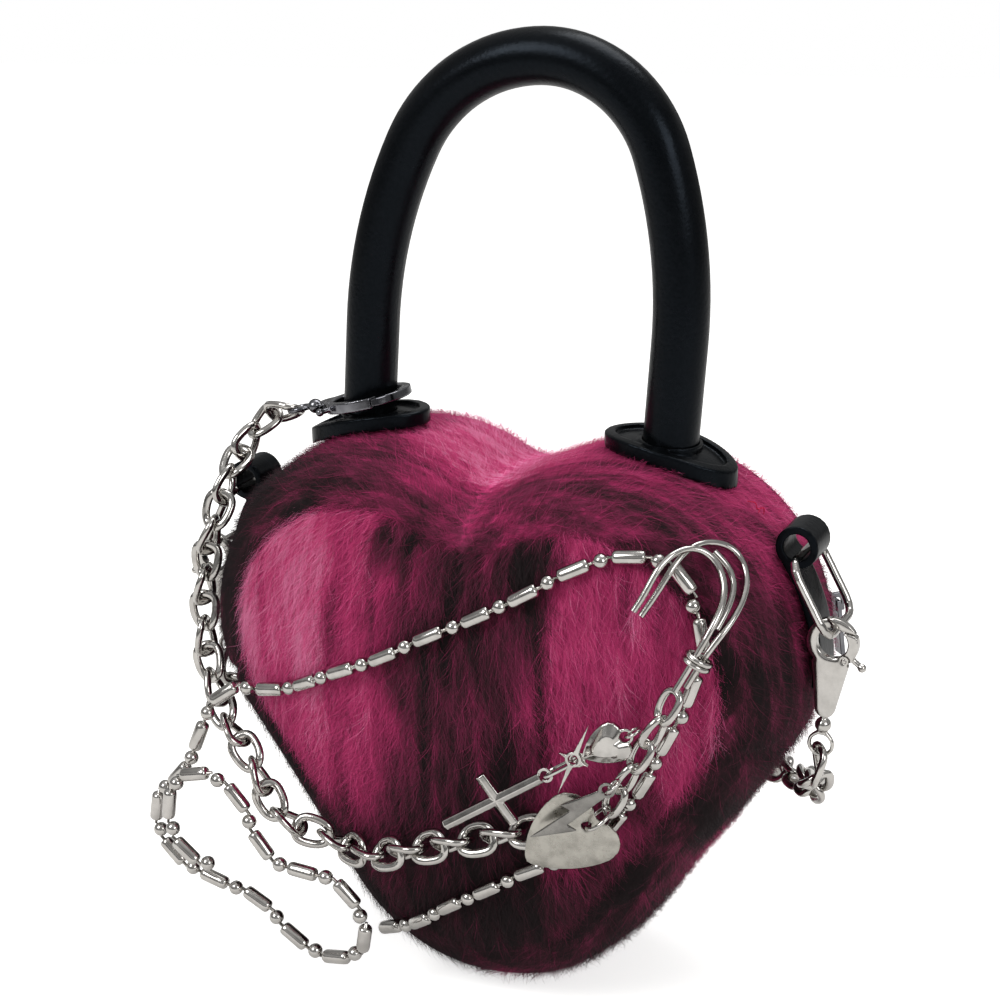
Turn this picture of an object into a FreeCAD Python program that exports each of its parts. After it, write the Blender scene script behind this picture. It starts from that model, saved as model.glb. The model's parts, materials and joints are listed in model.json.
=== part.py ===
"""Heart shaped mohair purse with a rolled handle, a shoulder chain and a charm chain.

Lengths are millimetres and +Z is up. The pieces are modelled about the bag's middle
plane (x = 0, front at -Y) with z = 0 at the top of the handle's centre line, and are
moved sideways on export so that the origin lies in the middle of the grip.
"""
import FreeCAD
import Part
import math
import os

V = FreeCAD.Vector
UP = V(0, 0, 1)
BACK = V(0, 1, 0)
RIGHT = V(1, 0, 0)

# Bag outline, measured at the front seam
lobe_radius = 46.0
lobe_spread = 37.5
lobe_drop = 174.5
tip_radius = 46.0
tip_drop = 275.5
cleft_radius = 30.0

# Bag depth and cloth
seam_half_depth = 38.0
gusset_bulge = 15.0
front_crown = 14.0
back_crown = 11.0
cloth = 4.0
lining_cloth = 1.0
lining_gap = 0.3
side_seam_drop = 191.0
seam_gap = 0.3
crown_power_share = 2.5
crown_shares = (1.0, 0.93, 0.8, 0.6, 0.35, 0.12)
crown_centre_share = 0.15
bulge_turns = (-90, -60, -30, 0, 30, 60, 90)

# Zip along the back edge of the upper gusset
zip_inset = 10.0
tape_width = 4.6
coil_width = 1.25
coil_gap = 0.3
tape_depth = 1.2
tape_cloth = 1.2
coil_depth = 0.4
coil_height = 2.6
slider_angle = 6.0
slider_sweep = 8.0
slider_width = 7.0
slider_plate = 1.3
slider_gap = 0.45
bail_length = 6.0
bail_height = 4.6
bail_thickness = 1.5
bail_hole = 1.5
puller_wire = 1.5
puller_width = 5.0
puller_side = 1.2
puller_eye = 7.0
puller_tab = 10.0
stop_length = 3.0
stop_gap = 0.4

# Handle
handle_span = 51.0
handle_lean = 12.0
handle_radius = 8.35
handle_wall = 1.6
handle_core_gap = 0.4
handle_sides = 10
leg_length = 30.0
leg_lean_share = 0.09
foot_length = 41.0
foot_width = 27.0
foot_thickness = 3.2
foot_rim = 3.4
foot_rim_rise = 1.5
foot_seat = 0.2
collar_wall = 1.2
collar_height = 1.0
collar_gap = 0.1
backing_length = 36.0
backing_width = 18.0
backing_thickness = 1.5
screw_radius = 1.7
screw_spread = 14.0
screw_head_radius = 3.4
screw_head = 2.0
screw_bite = 2.2
screw_gap = 0.1

# Side tabs and links
tab_centre = -4.0
tab_width = 13.0
tab_thickness = 3.0
tab_low_angle = -4.0
tab_high_angle = 34.5
loop_radius = 6.4
loop_bore = 4.0
tab_seat = 0.3
link_wire = 1.3
link_width = 26.0
link_length = 24.0
link_corner = 5.0
link_centre = -6.0
link_angle = 28.0
link_clear = 0.3

# Lobster clasps
side_hook_bore = 4.6
side_hook_bar = 3.0
side_clasp_thickness = 3.0
side_clasp_stem = 13.0
side_clasp_place = -12.5
side_clasp_tilt = -5.0
handle_hook_bore = 11.2
handle_hook_bar = 2.8
handle_clasp_thickness = 3.4
handle_clasp_stem = 0.6
handle_clasp_gap = 1.5
handle_clasp_slack = 1.6
stem_end_radius = 3.0
stem_top_share = 0.72
pivot_angle = -50.0
gate_angle = 38.0
gate_gap = 0.3
pin_radius = 0.8
tongue_share = 0.45
trigger_angle = -33.0
trigger_reach = 3.4
trigger_radius = 1.3
swivel_post = 1.0
swivel_depth = 4.0
swivel_ball = 2.4
swivel_eye = 3.8
swivel_wire = 1.0
swivel_gap = 0.2

# Curb chains, with routes as shares of the bag's half width, half depth and drop
curb_length = 14.0
curb_width = 11.0
curb_wire = 1.2
curb_pitch = 8.75
shoulder_pitch = 8.93
chain_eye_step = 1.9
curb_roll = 45.0
wire_sides = 5
ring_steps = 8
corner_steps = 3
oval_side_share = 0.45
oval_end_share = 0.45
charm_chain_shares = (
    (-1.1, -0.2, 0.52), (-1.105, -0.48, 0.45),
    (-1.108, -0.67, 0.366), (-1.144, -0.776, 0.243), (-1.18, -0.79, 0.064), (-1.185, -0.816, -0.104),
    (-1.138, -0.895, -0.233), (-1.03, -1.08, -0.322), (-0.91, -1.21, -0.391), (-0.826, -1.263, -0.49),
    (-0.743, -1.29, -0.589),
)
charm_chain_end_shares = ((-0.593, -0.649), (-0.383, -0.649), (-0.168, -0.579), (0.012, -0.52), (0.18, -0.47),
                          (0.335, -0.431), (0.48, -0.4))
charm_chain_lift = 5.8
shoulder_shares = (
    (1.2256, -0.329, -0.2277), (1.2168, -0.329, -0.31), (1.19, -0.16, -0.37), (1.144, 0.105, -0.421),
    (1.078, 0.395, -0.46), (1.0, 0.658, -0.495), (0.898, 0.895, -0.53), (0.778, 1.079, -0.559),
    (0.611, 1.21, -0.589), (0.419, 1.29, -0.619), (0.204, 1.342, -0.639), (0.0, 1.355, -0.649),
)
belly_shares = (1.17, 1.37, 0.89)

# Ball and bar chain, laid over the front panel
ball_radius = 2.15
bead_gap = 0.15
bar_length = 10.6
bar_radius = 1.9
bar_chamfer = 0.7
neck_radius = 0.55
neck_length = 0.8
bead_sides = 6
strand_lift = 3.2
strand_shares = (
    (-0.764, -0.158), (-0.522, -0.073), (-0.309, 0.009), (-0.113, 0.095), (0.069, 0.17), (0.262, 0.259),
    (0.444, 0.347), (0.64, 0.405), (0.749, 0.401), (0.836, 0.361), (0.873, 0.292), (0.902, 0.223),
    (0.92, 0.135), (0.889, 0.054), (0.851, -0.044), (0.799, -0.121), (0.746, -0.222), (0.686, -0.304),
    (0.61, -0.403), (0.502, -0.501), (0.396, -0.551), (0.278, -0.601), (0.163, -0.663), (-0.042, -0.778),
    (-0.267, -0.915), (-0.35, -0.95),
)
tangle_shares = (
    (-0.946, -1.3, -0.183), (-1.04, -1.42, -0.3), (-1.12, -1.45, -0.45),
    (-1.24, -1.45, -0.55), (-1.26, -1.45, -0.68), (-1.14, -1.45, -0.79), (-0.97, -1.45, -0.83),
    (-0.81, -1.45, -0.87),
    (-0.671, -1.45, -0.965), (-0.5, -1.47, -1.0), (-0.36, -1.52, -0.93), (-0.36, -1.57, -0.78),
    (-0.49, -1.6, -0.69), (-0.65, -1.6, -0.69), (-0.77, -1.6, -0.6), (-0.86, -1.6, -0.47),
    (-1.0, -1.62, -0.42), (-1.13, -1.64, -0.5), (-1.12, -1.66, -0.64), (-0.98, -1.66, -0.72),
)

# Hook, cable links and charms
hook_wire = 0.95
hook_lift = 12.3
hook_step = 3.9
hook_front_shares = (
    (0.723, 0.294), (0.75, 0.32), (0.764, 0.369), (0.783, 0.41), (0.813, 0.443), (0.855, 0.452), (0.908, 0.431),
    (0.952, 0.393), (0.984, 0.347), (0.994, 0.298), (0.97, 0.252), (0.933, 0.18), (0.87, 0.078),
)
hook_back_shares = (
    (0.734, 0.269), (0.778, 0.329), (0.818, 0.404), (0.848, 0.447), (0.897, 0.443), (0.952, 0.417),
    (0.995, 0.377), (1.023, 0.335), (1.029, 0.287), (1.0, 0.232), (0.95, 0.175), (0.89, 0.075),
)
hook_middle_shares = ((0.914, 0.42), (0.986, 0.363), (1.002, 0.324), (0.998, 0.284), (0.975, 0.24))
binding_radius = 4.2
binding_wire = 0.8
cable_length = 12.0
cable_width = 8.0
cable_wire = 0.9
cable_pitch = 8.0
cable_lift = 10.0
cable_shares = ((0.862, 0.062), (0.815, -0.023), (0.764, -0.106), (0.71, -0.19), (0.662, -0.27), (0.63, -0.318))
cable_fixed_links = 3
ring_wire = 0.6
ring_radius = 2.5
lug_radius = 2.4
lug_bore = 1.5
lug_thickness = 1.2
cross_bar = 3.2
cross_length = 37.5
cross_arm = 17.5
cross_arm_share = 0.45
cross_link_length = 12.0
cross_link_width = 4.4
cross_tip_shares = (0.065, -0.416)
cross_lift = 9.0
tag_length = 27.0
tag_width = 26.0
tag_thickness = 1.6
tag_hole = 3.2
tag_ring_radius = 4.9
tag_shares = ((0.59, -0.347), (0.312, -0.526))
tag_lift = 11.6
heart_length = 13.0
heart_width = 12.5
heart_thickness = 5.0
heart_face_share = 0.5
heart_shares = ((0.704, -0.07), (0.604, -0.121))
heart_lobe_share = 0.275
heart_flank_turn = 22.0
heart_steps = 5
bolt_length = 28.0
bolt_width = 9.0
bolt_thickness = 1.6
bolt_outline_shares = (
    (-0.15, 0.0), (0.15, 0.0), (0.5, 0.46), (0.17, 0.42), (0.24, 1.0), (-0.5, 0.53), (-0.15, 0.57))
bolt_shares = ((0.665, -0.215), (0.422, -0.397))
bolt_lift = 16.4
bolt_ring_radius = 2.4
star_length = 25.0
star_width = 9.0
star_thickness = 1.8
star_waist_share = 0.14
star_shares = ((0.607, -0.019), (0.489, -0.25))
star_lift = 14.8

# Shared values
overrun = 60.0
probe = 90.0

rim_radius = lobe_radius + gusset_bulge
seam_half_width = lobe_spread + lobe_radius
seam_drop = tip_drop - lobe_drop
quarter_turn = 90.0
zip_front = seam_half_depth - zip_inset
half_turn = 180.0


# Small helpers for directions and faceted solids

def unit(vector):
    return vector * (1.0 / vector.Length)


def polar(radius, degrees):
    turn = math.radians(degrees)
    return V(radius * math.cos(turn), 0, radius * math.sin(turn))


def placed(shape, origin, along, across):
    """Copy of a piece whose own Z points along and whose own X points across."""
    z = unit(along)
    x = unit(across - z * across.dot(z))
    moved = shape.copy()
    turn = FreeCAD.Placement(origin, FreeCAD.Rotation(x, z.cross(x), z, "ZXY"))
    moved.Placement = turn.multiply(shape.Placement)
    return moved


def skin(rings, closed):
    """Solid with flat faces between rings of points."""
    following = rings[1:] + rings[:1] if closed else rings[1:]
    faces = []
    for first, second in zip(rings, following):
        for k in range(len(first)):
            n = (k + 1) % len(first)
            corners = [first[k], first[n], second[n], second[k], first[k]]
            faces.append(Part.Face(Part.makePolygon(corners)))
    if not closed:
        for ring in (rings[0], rings[-1]):
            faces.append(Part.Face(Part.makePolygon(ring + ring[:1])))
    return Part.makeSolid(Part.makeShell(faces))


def onto_plane(point, direction, base, normal):
    return point + direction * ((base - point).dot(normal) / direction.dot(normal))


def wire_tube(points, radius, closed=False, sides=wire_sides):
    """Round wire as a mitred prism of few sides along points."""
    count = len(points)
    runs = [unit(points[(k + 1) % count] - points[k]) for k in range(count if closed else count - 1)]
    first = runs[0]
    side = unit(first.cross(UP if abs(first.z) < abs(first.x) + abs(first.y) else RIGHT))
    other = first.cross(side)
    ring = []
    for k in range(sides):
        turn = 2 * math.pi * (k + 1 / 2) / sides
        ring.append(points[0] + side * (radius * math.cos(turn)) + other * (radius * math.sin(turn)))
    rings = []
    for k in range(count):
        before = runs[k - 1] if closed or k > 0 else runs[0]
        after = runs[k] if k < len(runs) else runs[-1]
        ring = [onto_plane(p, before, points[k], unit(before + after)) for p in ring]
        rings.append(ring)
    return skin(rings, closed)


def turned(profile, sides=bead_sides):
    """Bead of flat facets: profile is (along, radius) from end to end."""
    rings = []
    for along, radius in profile:
        ring = []
        for k in range(sides):
            turn = 2 * math.pi * k / sides
            ring.append(V(radius * math.cos(turn), radius * math.sin(turn), along))
        rings.append(ring)
    return skin(rings, False)


def wire_ring(radius, wire, steps=ring_steps):
    """Round ring in its own XY plane."""
    points = []
    for k in range(steps):
        turn = 2 * math.pi * (k + 1 / 2) / steps
        points.append(V(radius * math.cos(turn), radius * math.sin(turn), 0))
    return wire_tube(points, wire, closed=True)


def loop_points(width, length, corner, steps):
    """Closed loop in the YZ plane, a rectangle of wire centre lines with round corners."""
    points = []
    for quarter, (side, end) in enumerate(((1, 1), (-1, 1), (-1, -1), (1, -1))):
        middle = V(0, side * (width / 2 - corner), end * (length / 2 - corner))
        for k in range(steps + 1):
            turn = math.pi / 2 * (quarter + k / steps)
            point = middle + V(0, corner * math.cos(turn), corner * math.sin(turn))
            if not points or (point - points[-1]).Length > corner / steps / 2:
                points.append(point)
    if (points[0] - points[-1]).Length < corner / steps / 2:
        points.pop()
    return points


def box_between(low, high):
    size = high - low
    return Part.makeBox(size.x, size.y, size.z, low)


def above(drop):
    return box_between(V(-probe - overrun, -probe, -drop), V(probe + overrun, probe, overrun))


def below(drop):
    return box_between(V(-probe - overrun, -probe, -tip_drop - probe), V(probe + overrun, probe, -drop))


def depth_slice(near, far):
    return box_between(V(-probe - overrun, near, -tip_drop - probe), V(probe + overrun, far, overrun))


# Heart outline and the bag's lofts

cleft_rise = math.sqrt((lobe_radius + cleft_radius) ** 2 - lobe_spread ** 2)
lobe_centre = V(lobe_spread, 0, -lobe_drop)
tip_centre = V(0, 0, tip_radius - tip_drop)
flank_run = tip_centre - lobe_centre
flank_lean = (lobe_radius - tip_radius) / flank_run.Length
flank_side = unit(flank_run).cross(BACK)
flank_normal = unit(flank_run) * flank_lean + flank_side * math.sqrt(1 - flank_lean ** 2)


def mirror_x(point):
    return V(-point.x, point.y, point.z)


def arc_edge(start, centre, radius, mid_degrees, end):
    return Part.Arc(start, centre + polar(radius, mid_degrees), end).toShape()


def heart_wire(y, grow):
    """Heart outline in the plane y, grown outwards from the seam outline."""
    shift = V(0, y, 0)
    lobe = lobe_centre + shift
    tip = tip_centre + shift
    cleft = V(0, y, cleft_rise - lobe_drop)
    lobe_size = lobe_radius + grow
    to_cleft = unit(cleft - lobe)
    start = lobe + to_cleft * lobe_size
    flank_top = lobe + flank_normal * lobe_size
    flank_low = tip + flank_normal * (tip_radius + grow)
    first = math.degrees(math.atan2(to_cleft.z, to_cleft.x))
    last = math.degrees(math.atan2(flank_normal.z, flank_normal.x))
    middle = (first + last) / 2
    low, top, begin = mirror_x(flank_low), mirror_x(flank_top), mirror_x(start)
    edges = [
        arc_edge(start, lobe, lobe_size, middle, flank_top),
        Part.LineSegment(flank_top, flank_low).toShape(),
        arc_edge(flank_low, tip, tip_radius + grow, -quarter_turn, low),
        Part.LineSegment(low, top).toShape(),
        arc_edge(top, mirror_x(lobe), lobe_size, half_turn - middle, begin),
        arc_edge(begin, cleft, cleft_radius - grow, -quarter_turn, start),
    ]
    return Part.Wire(edges)


def gusset_core(grow):
    """Whole bag between the two seam planes, grown by a cloth layer."""
    wires = []
    for turn in bulge_turns:
        y = seam_half_depth * math.sin(math.radians(turn))
        wires.append(heart_wire(y, grow + gusset_bulge * math.cos(math.radians(turn))))
    return Part.makeLoft(wires, True, False)


def crown_solid(side, rise, grow):
    """Crowned heart panel standing out from one seam plane."""
    seam = side * seam_half_depth
    base = heart_wire(seam, grow)
    centre = V(0, seam, -lobe_drop - seam_drop * crown_centre_share)
    wires = []
    for share in crown_shares:
        wire = base.copy()
        wire.scale(share, centre)
        wire.translate(BACK * (side * rise * (1 - share ** crown_power_share)))
        wires.append(wire)
    return Part.makeLoft(wires, True, False)


def crown_panel(side, rise, grow, thickness):
    outer = crown_solid(side, rise, grow)
    inner = crown_solid(side, rise - thickness, grow - thickness)
    return outer.cut(inner)


def gusset_layer(outer_grow, thickness):
    return gusset_core(outer_grow).cut(gusset_core(outer_grow - thickness))


# Cloth body

def front_panel():
    return crown_panel(-1, front_crown, 0, cloth)


def back_panels():
    panel = crown_panel(1, back_crown, 0, cloth)
    lower = panel.common(below(side_seam_drop + seam_gap / 2))
    upper = panel.common(above(side_seam_drop - seam_gap / 2))
    return lower, upper


def gusset_pieces(screw_holes):
    layer = gusset_layer(0, cloth)
    upper = layer.common(above(side_seam_drop - seam_gap / 2))
    upper = upper.common(depth_slice(-seam_half_depth, zip_front))
    lower = layer.common(below(side_seam_drop + seam_gap / 2))
    return upper.cut(screw_holes), lower


def lining(screw_holes):
    grow = -cloth - lining_gap
    tube = gusset_layer(grow, lining_cloth).cut(screw_holes)
    mouth = above(side_seam_drop).common(depth_slice(zip_front, seam_half_depth + overrun))
    front = crown_panel(-1, front_crown - cloth - lining_gap, grow, lining_cloth)
    back = crown_panel(1, back_crown - cloth - lining_gap, grow, lining_cloth)
    back = back.common(below(side_seam_drop + seam_gap / 2))
    return Part.makeCompound([tube.cut(mouth), front, back])


# Zip

coil_start = zip_front + tape_width
coil_middle = coil_start + coil_width + coil_gap / 2
flap_tape_start = coil_start + 2 * coil_width + coil_gap


def zip_strip(depth, height, near, far):
    strip = gusset_layer(-depth, height).common(depth_slice(near, far))
    return strip.common(above(side_seam_drop - seam_gap / 2))


def zip_pieces():
    tape_gusset = zip_strip(tape_depth, tape_cloth, zip_front, coil_start)
    tape_flap = zip_strip(tape_depth, tape_cloth, flap_tape_start, seam_half_depth)
    coil_gusset = zip_strip(coil_depth, coil_height, coil_start, coil_start + coil_width)
    coil_flap = zip_strip(coil_depth, coil_height, coil_middle + coil_gap / 2, flap_tape_start)
    return tape_gusset, tape_flap, coil_gusset, coil_flap


def bulge_at(y):
    return gusset_bulge * math.sqrt(1 - (y / seam_half_depth) ** 2)


def zip_frame(angle):
    """Point over the coil on the right lobe with its outward, crosswise and running directions."""
    steep = gusset_bulge * coil_middle / seam_half_depth ** 2
    steep = steep / math.sqrt(1 - (coil_middle / seam_half_depth) ** 2)
    radial = polar(1, angle)
    across = unit(BACK - radial * steep)
    outward = unit(radial + BACK * steep)
    point = lobe_centre + BACK * coil_middle + radial * (lobe_radius + bulge_at(coil_middle))
    return point, outward, across, outward.cross(across)


def zip_slider():
    point, outward, across, running = zip_frame(slider_angle)
    low = point + outward * slider_gap
    half = across * (slider_width / 2)
    corners = [low - half, low + half, low + half + outward * slider_plate, low - half + outward * slider_plate]
    face = Part.Face(Part.makePolygon(corners + corners[:1]))
    face.rotate(lobe_centre, BACK, slider_sweep / 2)
    plate = face.revolve(lobe_centre, BACK * -1, slider_sweep)
    base = low + outward * (slider_plate / 2)
    bail = Part.makeBox(bail_thickness, bail_length, bail_height)
    bail.translate(V(-bail_thickness / 2, -bail_length / 2, 0))
    hole = Part.makeCylinder(bail_hole, bail_thickness * 2, V(-bail_thickness, 0, bail_height / 2), RIGHT)
    return plate.fuse(placed(bail.cut(hole), base, outward, across)).removeSplitter()


def puller_pivot():
    point, outward, across, running = zip_frame(slider_angle)
    return point + outward * (slider_gap + slider_plate / 2 + bail_height / 2), outward, across, running


def zip_puller():
    """Flat pull with a window whose top bar runs through the slider's bail."""
    pivot, outward, across, running = puller_pivot()
    down = running if running.z < 0 else running * -1
    half = puller_wire / 2
    pull = box_between(V(-puller_width / 2, -half, -half), V(puller_width / 2, half, puller_eye + puller_tab))
    inside = puller_width / 2 - puller_side
    window = box_between(V(-inside, -puller_wire, half), V(inside, puller_wire, puller_eye))
    return placed(pull.cut(window), pivot, down, across)


def zip_stops():
    """Two metal end stops that pinch the coils just above the side seams."""
    solids = []
    for side in (-1, 1):
        low = V(-probe - overrun if side < 0 else 0, coil_start - stop_gap, -side_seam_drop)
        high = V(0 if side < 0 else probe + overrun, flap_tape_start + stop_gap, stop_length - side_seam_drop)
        outer = gusset_core(coil_gap + coil_depth).cut(gusset_core(coil_gap / 2))
        solids.append(outer.common(box_between(low, high)))
    return Part.makeCompound(solids)


# Handle

foot_height = math.sqrt(rim_radius ** 2 - (handle_span - lobe_spread) ** 2) - lobe_drop
leg_start = foot_height + foot_thickness + foot_seat
apex = V(handle_lean, 0, 0)


def tangent_arc(start, corner, end):
    """Arc from start to end whose end tangents meet at corner."""
    middle = (start + end) * (1 / 2)
    chord = end - start
    half_angle = (corner - start).getAngle(chord)
    rise = unit(corner - middle) * (chord.Length / 2 * math.tan(half_angle / 2))
    return Part.Arc(start, middle + rise, end).toShape()


def biarc(start, start_way, end, end_way):
    """Two tangent arcs between two points with given directions."""
    span = end - start
    ways = start_way + end_way
    spread = 2 * (1 - start_way.dot(end_way))
    dot = span.dot(ways)
    reach = (math.sqrt(dot ** 2 + spread * span.dot(span)) - dot) / spread
    first = start + start_way * reach
    last = end - end_way * reach
    joint = (first + last) * (1 / 2)
    return [tangent_arc(start, first, joint), tangent_arc(joint, last, end)]


def handle_path():
    """Arch of the handle: two straight legs and four tangent arcs that lean to the right."""
    way = unit(UP + RIGHT * leg_lean_share)
    left = V(-handle_span, 0, leg_start)
    right = V(handle_span, 0, leg_start)
    left_top = left + way * leg_length
    right_top = right + way * leg_length
    edges = [Part.LineSegment(left, left_top).toShape()]
    edges += biarc(left_top, way, apex, RIGHT)
    edges += biarc(apex, RIGHT, right_top, way * -1)
    edges.append(Part.LineSegment(right_top, right).toShape())
    return Part.Wire(edges), way


def handle_cover():
    path, way = handle_path()
    start = V(-handle_span, 0, leg_start)
    outer = Part.Wire(Part.makeCircle(handle_radius, start, way))
    inner = Part.Wire(Part.makeCircle(handle_radius - handle_wall, start, way))
    return path.makePipeShell([outer], True, False).cut(path.makePipeShell([inner], True, False))


def handle_core():
    path, way = handle_path()
    points = path.discretize(Number=handle_sides * 2)
    return wire_tube(points, handle_radius - handle_wall - handle_core_gap, sides=handle_sides)


def ellipse_prism(x, length, width):
    curve = Part.Ellipse(V(x, 0, 0), length / 2, width / 2).toShape()
    face = Part.Face(Part.Wire(curve))
    face.translate(UP * (foot_height - overrun / 2))
    return face.extrude(UP * overrun)


def screw_places():
    return [(foot, foot + step) for foot in (-handle_span, handle_span) for step in (-screw_spread, screw_spread)]


def screw_shafts(radius):
    bars = []
    for foot, x in screw_places():
        bars.append(Part.makeCylinder(radius, overrun, V(x, 0, foot_height - overrun / 2), UP))
    return Part.makeCompound(bars)


def screw_holes():
    return screw_shafts(screw_radius + screw_gap)


def handle_foot(side, seat, plate, rim, bite):
    """Oval plate that hugs the lobe, with a raised rim and a collar round the leg."""
    x = side * handle_span
    way = handle_path()[1]
    blank = ellipse_prism(x, foot_length, foot_width)
    inside = ellipse_prism(x, foot_length - 2 * foot_rim, foot_width - 2 * foot_rim)
    leg = V(x, 0, leg_start)
    collar = Part.makeCylinder(handle_radius + collar_wall, collar_height * 2, leg - way * collar_height, way)
    foot = blank.common(plate).fuse([blank.cut(inside).common(rim), collar]).cut(seat)
    socket = Part.makeCylinder(handle_radius + collar_gap, overrun, leg - way * collar_gap, way)
    holes = screw_holes().common(bite)
    return foot.cut(socket).cut(holes).removeSplitter()


def backing_plates(outer, inner):
    layer = outer.cut(inner)
    plates = [ellipse_prism(side * handle_span, backing_length, backing_width).common(layer) for side in (-1, 1)]
    return Part.makeCompound(plates).cut(screw_holes())


def handle_screws(bite, inner):
    depth = gusset_core(backing_drop() - backing_thickness - screw_gap - screw_head)
    solids = []
    for foot, x in screw_places():
        base = V(x, 0, foot_height - overrun / 2)
        shaft = Part.makeCylinder(screw_radius, overrun, base, UP).common(bite).cut(depth)
        head = Part.makeCylinder(screw_head_radius, overrun, base, UP).common(inner).cut(depth)
        solids.append(shaft.fuse(head).removeSplitter())
    return Part.makeCompound(solids)


def backing_drop():
    return -cloth - lining_gap - lining_cloth - screw_gap


# Side tabs and links

def side_tab(side):
    """Folded leather strap sewn to the gusset, with a rolled loop at its upper end."""
    inner = rim_radius + tab_seat
    loop = lobe_centre + polar(inner + loop_radius, tab_high_angle)
    low, high = polar(1, tab_low_angle), polar(1, tab_high_angle)
    mid = polar(1, (tab_low_angle + tab_high_angle) / 2)
    outer = inner + tab_thickness
    edges = [
        Part.Arc(lobe_centre + low * inner, lobe_centre + mid * inner, lobe_centre + high * inner).toShape(),
        Part.LineSegment(lobe_centre + high * inner, lobe_centre + high * outer).toShape(),
        Part.Arc(lobe_centre + high * outer, lobe_centre + mid * outer, lobe_centre + low * outer).toShape(),
        Part.LineSegment(lobe_centre + low * outer, lobe_centre + low * inner).toShape(),
    ]
    strap = Part.Face(Part.Wire(edges)).extrude(BACK * tab_width)
    roll = Part.makeCylinder(loop_radius, tab_width, loop, BACK)
    bore = Part.makeCylinder(loop_bore, tab_width * 3, loop - BACK * tab_width, BACK)
    tab = strap.fuse(roll).cut(bore).removeSplitter()
    tab.translate(BACK * (tab_centre - tab_width / 2))
    return tab if side > 0 else tab.mirror(V(0, 0, 0), RIGHT)


def link_top():
    loop = lobe_centre + polar(rim_radius + tab_seat + loop_radius, tab_high_angle)
    hang = polar(1, link_angle - quarter_turn)
    return loop + hang * (loop_bore - link_wire - link_clear) + BACK * link_centre, hang


def side_link(side):
    """Rounded wire loop that hangs in the tab."""
    top, hang = link_top()
    loop = wire_tube(loop_points(link_width, link_length, link_corner, corner_steps), link_wire,
                     closed=True, sides=ring_steps)
    solid = placed(loop, top + hang * (link_length / 2), hang, hang.cross(BACK))
    return solid if side > 0 else solid.mirror(V(0, 0, 0), RIGHT)


# Lobster clasps, drawn in their own XZ plane with the hook's eye at the origin

def disc(centre, radius, thickness):
    return Part.makeCylinder(radius, thickness, centre - BACK * (thickness / 2), BACK)


def wedge(first_degrees, last_degrees, reach, thickness):
    """Flat slice seen from the eye's centre between two angles."""
    middle = (first_degrees + last_degrees) / 2
    corners = [V(0, 0, 0)] + [polar(reach, turn) for turn in (first_degrees, middle, last_degrees)]
    face = Part.Face(Part.makePolygon(corners + corners[:1]))
    face.translate(BACK * (-thickness / 2))
    return face.extrude(BACK * thickness)


def clasp_pieces(bore, bar, stem, thickness):
    """Body, gate, pin and swivel of one clasp."""
    outer = bore + bar
    middle = bore + bar / 2
    pivot = polar(middle, pivot_angle)
    reach = (polar(middle, gate_angle) - pivot).Length
    hub = bar / 2
    tongue = thickness * tongue_share
    stem_low = -outer - stem
    ring = disc(V(0, 0, 0), outer, thickness).cut(disc(V(0, 0, 0), bore, thickness * 2))
    corners = [V(-outer * stem_top_share, 0, -middle), V(outer * stem_top_share, 0, -middle),
               V(stem_end_radius, 0, stem_low), V(-stem_end_radius, 0, stem_low)]
    plate = Part.Face(Part.makePolygon(corners + corners[:1]))
    plate.translate(BACK * (-thickness / 2))
    plate = plate.extrude(BACK * thickness)
    stem_end = disc(V(0, 0, stem_low), stem_end_radius, thickness)
    body = ring.fuse([plate, stem_end]).cut(disc(V(0, 0, 0), bore, thickness * 2))
    room = wedge(pivot_angle, gate_angle + half_turn / 3, outer * 3, thickness * 2)
    swing = disc(pivot, reach + gate_gap, thickness * 2).common(room)
    body = body.cut(swing.cut(disc(pivot, hub, thickness * 3)))
    slot = disc(pivot, outer, tongue + 2 * gate_gap)
    slot = slot.common(disc(pivot, hub + gate_gap, thickness))
    body = body.fuse(disc(pivot, hub, thickness)).cut(slot)
    body = body.cut(disc(pivot, pin_radius, thickness * 2))
    bore_axis = V(0, 0, stem_low - stem_end_radius)
    post_hole = Part.makeCylinder(swivel_post + swivel_gap, swivel_depth, bore_axis, UP)
    body = body.cut(post_hole).removeSplitter()

    leaf = ring.common(disc(pivot, reach, thickness * 2)).common(room)
    leaf = leaf.cut(disc(pivot, hub + gate_gap, thickness * 2))
    reach_bar = ring.common(disc(pivot, hub * 3, tongue)).common(room)
    knob_place = polar(outer + trigger_reach, trigger_angle)
    lever = Part.makeCylinder(trigger_radius * 2 / 3, trigger_reach + bar / 2, polar(middle, trigger_angle),
                              polar(1, trigger_angle))
    gate = leaf.fuse([disc(pivot, hub, tongue), reach_bar, lever, Part.makeSphere(trigger_radius, knob_place)])
    gate = gate.cut(disc(pivot, pin_radius + gate_gap / 2, thickness * 2)).removeSplitter()

    pin = disc(pivot, pin_radius, thickness)
    ball_place = bore_axis - UP * (swivel_ball + swivel_gap)
    eye_place = ball_place - UP * (swivel_ball + swivel_eye)
    post = Part.makeCylinder(swivel_post, swivel_depth + swivel_ball, ball_place, UP)
    eye = placed(wire_ring(swivel_eye, swivel_wire), eye_place, BACK, RIGHT)
    swivel = post.fuse([Part.makeSphere(swivel_ball, ball_place), eye]).removeSplitter()
    return {"body": body, "gate": gate, "gate_pin": pin, "swivel": swivel}, eye_place


def side_clasp_frame():
    """Eye centre, direction from stem to hook and thickness direction of the right clasp."""
    top, hang = link_top()
    low_bar = top + hang * link_length
    up = polar(1, quarter_turn + side_clasp_tilt)
    centre = low_bar - up * (side_hook_bore - link_wire - link_clear)
    return V(centre.x, side_clasp_place, centre.z), up


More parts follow.
